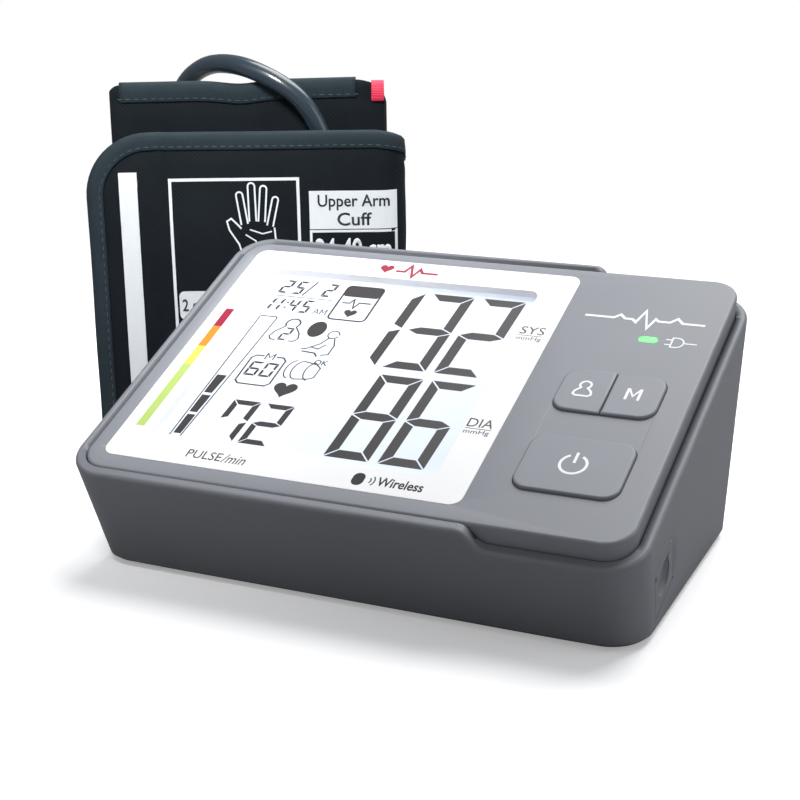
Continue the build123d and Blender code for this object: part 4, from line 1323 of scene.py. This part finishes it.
@dataclass
class Cuff:
    """The rolled cuff: wrap, inner panel, bladder, backing, ring and everything sewn to them."""

    wrap: Layer = field(default_factory=lambda: Layer(
        "cuff_flap", Course((0.2, 1.8), 0.0, ((107.1, 90.0, 6.4), (20.8, 90.0, 6.4), (87.2, 0, 0))),
        119.6, 3.6, first_corner=23.0, swell=1.0, seed=2.3, creases=((24.3, 1.1),),
        slump=(104.0, 134.0, 8.5)))
    panel: Layer = field(default_factory=lambda: Layer(
        "cuff_inner_panel", Course((6.8, 19.8), 0.0, ((102.4, 0, 0),)), 135.6, 3.4,
        first_corner=4.5, last_corner=9.0, rise=1.0, swell=0.5, seed=7.1, bound=7.0,
        bound_sides=False, bound_end=11.0, dip=(49.0, 9.0, 1.4)))
    backing: Layer = field(default_factory=lambda: Layer(
        "cuff_backing_layer", Course((6.8, 30.2), 0.0, ((102.2, 0, 0),)), 131.6, 3.2,
        first_corner=4.0, last_corner=6.0, swell=0.4, seed=4.4, bound=5.0))
    bladder: Layer = field(default_factory=lambda: Layer(
        "air_bladder", Course((13.0, 25.0), 0.0, ((90.0, 0, 0),)), 124.0, 6.0,
        first_corner=6.0, last_corner=6.0, swell=0.2, seed=5.9, bound=0.0, foot=8.0))

    def build(self) -> None:
        """Build every piece of the cuff."""
        sewing = StitchTree("stitch_rows", THREAD)
        for layer, finish, node, slot, fill in (
                (self.wrap, CLOTH, "cuff_wrap", "cuff_cloth", 0.35),
                (self.panel, CLOTH, "cuff_panel", "cuff_inner", 0.35),
                (self.backing, LINING, "cuff_backing", "cuff_inner", 0.3),
                (self.bladder, BLADDER, "cuff_bladder", "bladder", 0.2)):
            cloth = place(layer.cloth(finish), "cuff", slot, node)
            if layer.bound:
                place(layer.binding(BINDING), "cuff", slot)
                rows = layer.stitch_lines(layer.bound - 1.2)
                place(sewing.sew(layer.name + "_stitches", rows), "cuff", slot)
            if layer is self.wrap:
                self.prints(cloth)
        self.tag()
        self.sleeve(sewing)
        for node, name, finish, body, slot in (
                ("d_ring", "cuff_ring", RING_METAL, "ring", "ring_metal"),
                ("hook_patch", "hook_fastener", HOOK_TAPE, "cuff", "hook_tape"),
                ("cuff_nozzle", "cuff_elbow", PLUG, "cuff", "plug_plastic")):
            place(welded(node, name, finish, 35.0), body, slot, node)

    def prints(self, cloth: bpy.types.Object) -> None:
        """Print the flap: index strip, frame, hand, size labels."""
        bpy.context.view_layer.update()
        tree = BVHTree.FromObject(cloth, bpy.context.evaluated_depsgraph_get())
        strip = Artwork("index_strip", CUFF_FRONT, 30.0, LABEL, 0.35)
        strip.shape([(12.2, 7.0), (18.8, 7.0), (18.8, 105.8), (12.2, 105.8)])
        white = Artwork("flap_drawing", CUFF_FRONT, 30.0, LABEL, 0.12)
        white.line([(30.6, 8.0), (77.0, 8.0), (77.0, 102.8), (30.6, 102.8)], 1.1, closed=True)
        self.hand(white)
        white.shape(rounded(31.9, 43.0, 50.8, 61.6, 2.0))
        white.line([(81.3, 40.0), (112.4, 40.0), (112.4, 83.4), (81.3, 83.4)], 0.9, closed=True)
        white.word("24-40 cm", (82.8, 110.6, 72.8, 80.8), 0.03)
        white.word("M - L", (88.0, 106.0, 58.0, 66.0), 0.03)
        plate = Artwork("size_label", CUFF_FRONT, 30.0, LABEL, 0.16)
        plate.shape([(80.9, 84.2), (112.8, 84.2), (112.8, 98.2), (80.9, 98.2)])
        words = Artwork("size_label_words", CUFF_FRONT, 30.0, LABEL_INK, 0.3)
        words.word("Upper Arm", (84.0, 110.2, 91.0, 96.8), 0.012)
        words.word("Cuff", (91.0, 103.6, 85.4, 90.2), 0.012)
        words.word("2 cm", (33.0, 41.9, 54.0, 58.6), 0.01)
        for art in (strip, white, plate, words):
            place(art.make(tree), "cuff", "cuff_cloth")

    def hand(self, white: Artwork) -> None:
        """Draw an open hand and forearm in plain line."""
        pen = 0.62
        palm = [(56.4, 74.0), (55.0, 79.0), (51.6, 84.4), (50.8, 87.6), (52.4, 88.6), (54.4, 86.6),
                (56.0, 84.8)]
        white.line(palm, pen)
        for foot, tip, wide in (((57.2, 86.4), (55.6, 97.0), 2.4), ((60.2, 87.4), (60.0, 100.2), 2.5),
                                ((63.4, 87.2), (64.4, 99.2), 2.4), ((66.4, 85.6), (68.6, 95.2), 2.2)):
            along = (Vector(tip) - Vector(foot)).normalized()
            side = Vector((-along.y, along.x)) * wide / 2
            turn = math.degrees(math.atan2(along.y, along.x))
            cap = arc(tip[0], tip[1], wide / 2, turn + 90, turn - 90, 8)
            white.line([tuple(Vector(foot) + side)] + cap + [tuple(Vector(foot) - side)], pen)
        white.line([(68.0, 85.0), (68.4, 80.0), (67.0, 74.0), (69.6, 64.0), (73.4, 50.0)], pen)
        white.line([(56.4, 74.0), (55.8, 64.0), (53.8, 52.0)], pen)
        white.line([(57.4, 82.6), (61.0, 80.2), (62.6, 76.0)], pen * 0.8)
        white.line([(59.0, 84.4), (63.6, 82.8), (67.0, 83.6)], pen * 0.8)

    def tag(self) -> None:
        """Fold the red ribbon over the inner panel's top edge."""
        layer = self.panel
        top = layer.top(99.6)
        half, lift = 2.35, 2.25
        line = [(-lift, top - 6.2), (-lift - 0.3, top - 3.2), (-lift, top - 0.6), (-1.4, top + 0.8),
                (0.0, top + 1.3), (1.4, top + 0.8), (lift, top - 0.6), (lift + 0.35, top - 3.0),
                (lift, top - 5.8)]
        rows, maps = [], []
        for side in range(9):
            s = 99.4 + half * (side - 4) / 4
            rows.append([layer.spot(s, z, -off) for off, z in line])
            maps.append([(i * 1.6 * MM, s * MM) for i in range(len(line))])
        ribbon_sheet = show("edge_ribbon", grid_mesh("edge_ribbon", rows, maps=maps), TAG)
        place(fill_out(ribbon_sheet, 0.5, levels=2), "cuff", "tag", "red_tag")

    def sleeve(self, sewing: StitchTree) -> None:
        """Loop the cloth strap round the ring's bar and sew it to the wrap's end."""
        bar = (14.0, 35.6)
        reach = 2.75
        line = ([(30.0, 33.1), (24.0, 33.0), (18.0, 33.0)] + arc(bar[0], bar[1], reach, -90, -270, 14)
                + [(18.0, 38.2), (24.0, 38.2), (31.0, 38.1)])
        rows, maps = [], []
        for level in range(34):
            z = 16.0 + 66.0 * level / 33
            rows.append([CUFF_PLAN.at(a, b + 0.12 * math.sin(z / 5 + a / 3), z) for a, b in line])
            maps.append([(i * 1.5 * MM, z * MM) for i in range(len(line))])
        strap = show("ring_strap", grid_mesh("ring_strap", rows, maps=maps), BINDING)
        place(fill_out(strap, 1.0, levels=1), "cuff", "cuff_inner", "ring_sleeve")
        lines = [[CUFF_PLAN.at(a, 38.85, 19.0 + 60.0 * i / 20) for i in range(21)]
                 for a in (21.0, 28.5)]
        lines += [[CUFF_PLAN.at(21.0 + 7.5 * i / 4, 38.85, z) for i in range(5)] for z in (19.0, 79.0)]
        place(sewing.sew("strap_stitches", lines), "cuff", "cuff_inner")


# ---- the air tube -------------------------------------------------------------------------
@dataclass
class AirTube:
    """The cuff's air tube: its arch, its upright run, its coil, its tie and its plug.

    Args:
        diameter: outside diameter.
        length: length of the whole tube along its middle; not used.
        coil_centre: middle of the coil in the cuff's plan frame.
        coil_radius: radius of its turns.
        coil_levels: heights of its layers.
        turns: number of turns.
    """

    diameter: float = 7.0
    length: float = 822.0
    coil_centre: Point = (60.5, 88.0)
    coil_radius: float = 35.5
    coil_levels: tuple[float, float, float] = (4.4, 11.4, 18.4)
    turns: float = 2.25
    turn_points: int = 16
    rise_share: float = 0.25
    arch: tuple = (
        (88.5, 12.4, 88.0), (88.5, 12.4, 103.0), (84.9, 12.8, 118.0), (78.0, 13.2, 129.6),
        (67.5, 15.0, 137.0), (54.5, 22.0, 141.4), (41.5, 34.0, 139.8), (31.0, 43.4, 130.0),
        (24.8, 46.6, 110.0), (21.6, 46.8, 86.0), (22.4, 46.0, 64.0), (23.6, 45.8, 48.0),
        (24.4, 46.4, 30.0), (24.7, 54.5, 11.9), (24.9, 71.5, 4.4))
    tail: tuple = ((75.0, 123.9, 18.5), (89.5, 121.2, 13.0), (101.5, 113.4, 6.9),
                   (108.8, 101.0, 6.5))

    def coil(self) -> list[tuple[float, float, float]]:
        """Return the coil's points: flat turns, each rising on to the one below at its end."""
        points = []
        count = round(self.turns * self.turn_points)
        for i in range(count + 1):
            turn = i / self.turn_points
            angle = math.pi - 2 * math.pi * turn
            into = max(0.0, (turn % 1.0) - (1 - self.rise_share)) / self.rise_share
            layer = int(turn)
            level = self.coil_levels[layer]
            if into:
                level += (self.coil_levels[layer + 1] - level) * into * into * (3 - 2 * into)
            points.append((self.coil_centre[0] + self.coil_radius * math.cos(angle),
                           self.coil_centre[1] + self.coil_radius * math.sin(angle), level))
        return points

    def build(self) -> None:
        """Build the tube and the pieces on it."""
        spots = [Vector(spot) for spot in (*self.arch, *self.coil(), *self.tail)]
        route = [spots[0], *(b + (2 * b - a - c) / 8 for a, b, c
                             in zip(spots, spots[1:], spots[2:])), spots[-1]]
        curve = bpy.data.curves.new("cuff_air_tube", "CURVE")
        curve.dimensions = "3D"
        curve.bevel_depth = self.diameter / 2 * MM
        curve.bevel_resolution, curve.resolution_u = 6, 8
        curve.use_fill_caps = True
        line = curve.splines.new("NURBS")
        line.points.add(len(route) - 1)
        for point, (a, b, z) in zip(line.points, route):
            point.co = (*CUFF_PLAN.at(a, b, z), 1.0)
        line.order_u, line.use_endpoint_u = 3, True
        tube = link("cuff_air_tube", curve)
        curve.materials.append(TUBE.make())
        place(tube, "cuff", "air_hose", "air_tube", "tube_coil", "tube_tail")
        plug = place(welded("air_plug", "tube_plug", PLUG, 35.0), "cuff", "plug_plastic", "air_plug")
        tie = self.tie()
        tuple(CUFF_PLAN.at(*self.arch[0]))

    def tie(self) -> bpy.types.Object:
        """Make the strap that holds the coil's two lower turns together.

        Returns:
            The strap.
        """
        a, b = self.coil_centre[0], self.coil_centre[1] - self.coil_radius
        low, high = self.coil_levels[0], self.coil_levels[1]
        grip = self.diameter / 2 + 0.45
        loop = arc(b, high, grip, 0, 180, 12) + arc(b, low, grip, 180, 360, 12)
        loop = [(x, max(0.45, z)) for x, z in loop]
        rows, maps = [], []
        for step in range(9):
            across = a - 5.0 + 10.0 * step / 8
            bow = (across - a) ** 2 / (2 * self.coil_radius)
            rows.append([CUFF_PLAN.at(across, x + bow, z) for x, z in loop])
            maps.append([(across * MM, i * 1.5 * MM) for i in range(len(loop))])
        mesh = grid_mesh("coil_strap", rows, around=True, maps=maps)
        strap = fill_out(show("coil_strap", mesh, BINDING), 0.8)
        return place(strap, "cuff", "elastomer", "coil_tie")


# ---- the room -----------------------------------------------------------------------------
@dataclass
class Studio:
    """The pale floor, the soft lights and the camera."""

    eye: tuple[float, float, float] = (0.24621, -0.48028, 0.20149)
    right: tuple[float, float, float] = (0.90423, 0.42681, -0.01411)
    up: tuple[float, float, float] = (-0.11265, 0.27027, 0.95617)
    lens: float = 74.784
    sensor: float = 36.0
    floor_glow: float = 0.3
    floor_fade: Point = (0.2, 0.55)

    def build(self) -> None:
        """Set up floor, world, lights and camera."""
        self.camera()
        self.floor()
        self.world()
        self.lamp("overhead_softbox", (0.15, 0.55, 1.15), (0.0, 0.0, 0.02), 1.0, 19.5)
        self.lamp("right_softbox", (1.2, 0.1, 0.5), (0.05, 0.0, 0.04), 0.7, 2.4)
        self.lamp("front_fill", (-0.5, -1.1, 0.9), (0.0, 0.0, 0.1), 0.8, 1.1)
        self.lamp("cuff_light", (0.02, -0.26, 0.42), (-0.09, 0.07, 0.09), 0.12, 0.22, 50.0)
        view = bpy.context.scene.view_settings
        view.view_transform = "Standard"
        view.look = "None"

    def camera(self) -> None:
        """Make the camera, without shift or depth of field."""
        lens = bpy.data.cameras.new("view")
        lens.lens, lens.sensor_width, lens.sensor_fit = self.lens, self.sensor, "HORIZONTAL"
        lens.clip_start, lens.clip_end = 0.01, 20.0
        camera = link("view", lens)
        right, up = Vector(self.right).normalized(), Vector(self.up).normalized()
        back = right.cross(up)
        turned = Matrix((right, up, back)).transposed().to_4x4()
        camera.matrix_world = Matrix.Translation(self.eye) @ turned
        bpy.context.scene.camera = camera

    def floor(self) -> None:
        """Make the round pale floor."""
        body = bmesh.new()
        bmesh.ops.create_circle(body, cap_ends=True, segments=96, radius=6.0)
        mesh = finished(body, "pale_floor", smooth=False)
        paint = bpy.data.materials.new("floor_paper")
        paint.use_nodes = True
        self.paper(paint.node_tree)
        mesh.materials.append(paint)
        show("pale_floor", mesh)

    def paper(self, tree: bpy.types.NodeTree) -> None:
        """Make the floor's paper: plain white further out, and dim as a source of light.

        Args:
            tree: the nodes of its material.
        """
        shader = tree.nodes["Principled BSDF"]
        feed(tree, shader, {
            "Base Color": (0.94, 0.94, 0.95, 1), "Roughness": 0.7, "Specular IOR Level": 0.2,
            "Emission Color": (1, 1, 1, 1), "Emission Strength": self.floor_glow})
        spot = add_node(tree, "ShaderNodeTexCoord")
        reach = add_node(tree, "ShaderNodeVectorMath", {0: spot.outputs["Object"]},
                         operation="LENGTH")
        near, far = self.floor_fade
        fade = add_node(tree, "ShaderNodeMapRange", {0: reach.outputs["Value"], 1: near, 2: far})
        white = add_node(tree, "ShaderNodeEmission")
        paper = add_node(tree, "ShaderNodeMixShader",
                         {0: fade.outputs[0], 1: shader.outputs[0], 2: white.outputs[0]})
        bounce = add_node(tree, "ShaderNodeBsdfDiffuse", {"Color": (0.36, 0.36, 0.37, 1)})
        self.split(tree, bounce, paper, "Material Output")

    def split(self, tree: bpy.types.NodeTree, light: bpy.types.Node, seen: bpy.types.Node,
              output: str) -> None:
        """Show the camera one shader and light the object with another.

        Args:
            tree: the nodes.
            light: what lights the object.
            seen: what the camera sees.
            output: name of the output node.
        """
        path = add_node(tree, "ShaderNodeLightPath")
        choose = add_node(tree, "ShaderNodeMixShader", {
            0: path.outputs["Is Camera Ray"], 1: light.outputs[0], 2: seen.outputs[0]})
        feed(tree, tree.nodes[output], {0: choose.outputs[0]})

    def world(self) -> None:
        """Make an even white surrounding that lights the object only weakly."""
        scene = bpy.context.scene
        scene.world = bpy.data.worlds.new("white_room")
        scene.world.use_nodes = True
        tree = scene.world.node_tree
        dim = tree.nodes["Background"]
        feed(tree, dim, {"Color": (0.95, 0.97, 1.0, 1), "Strength": 0.24})
        plain = add_node(tree, "ShaderNodeBackground", {"Color": (1, 1, 1, 1)})
        self.split(tree, dim, plain, "World Output")

    def lamp(self, name: str, spot: tuple, aim: tuple, size: float, power: float,
             spread: float = 180.0) -> None:
        """Hang one soft lamp.

        Args:
            name: its name.
            spot: where it hangs, in metres.
            aim: what it points at.
            size: its width and height.
            power: its power in watts.
            spread: how wide its beam opens, in degrees.
        """
        light = bpy.data.lights.new(name, "AREA")
        light.shape, light.size, light.energy = "SQUARE", size, power
        light.spread = math.radians(spread)
        holder = link(name, light)
        way = Vector(aim) - Vector(spot)
        holder.matrix_world = (Matrix.Translation(spot)
                               @ way.to_track_quat("-Z", "Y").to_matrix().to_4x4())


def main() -> None:
    """Build the room and the object."""
    logging.basicConfig(level=logging.INFO, format="%(message)s")
    for part in (Studio(), AirTube(), Unit(), Works(), Cuff()):
        LOG.info("building %s", type(part).__name__)
        part.build()


if __name__ == "__main__":
    main()
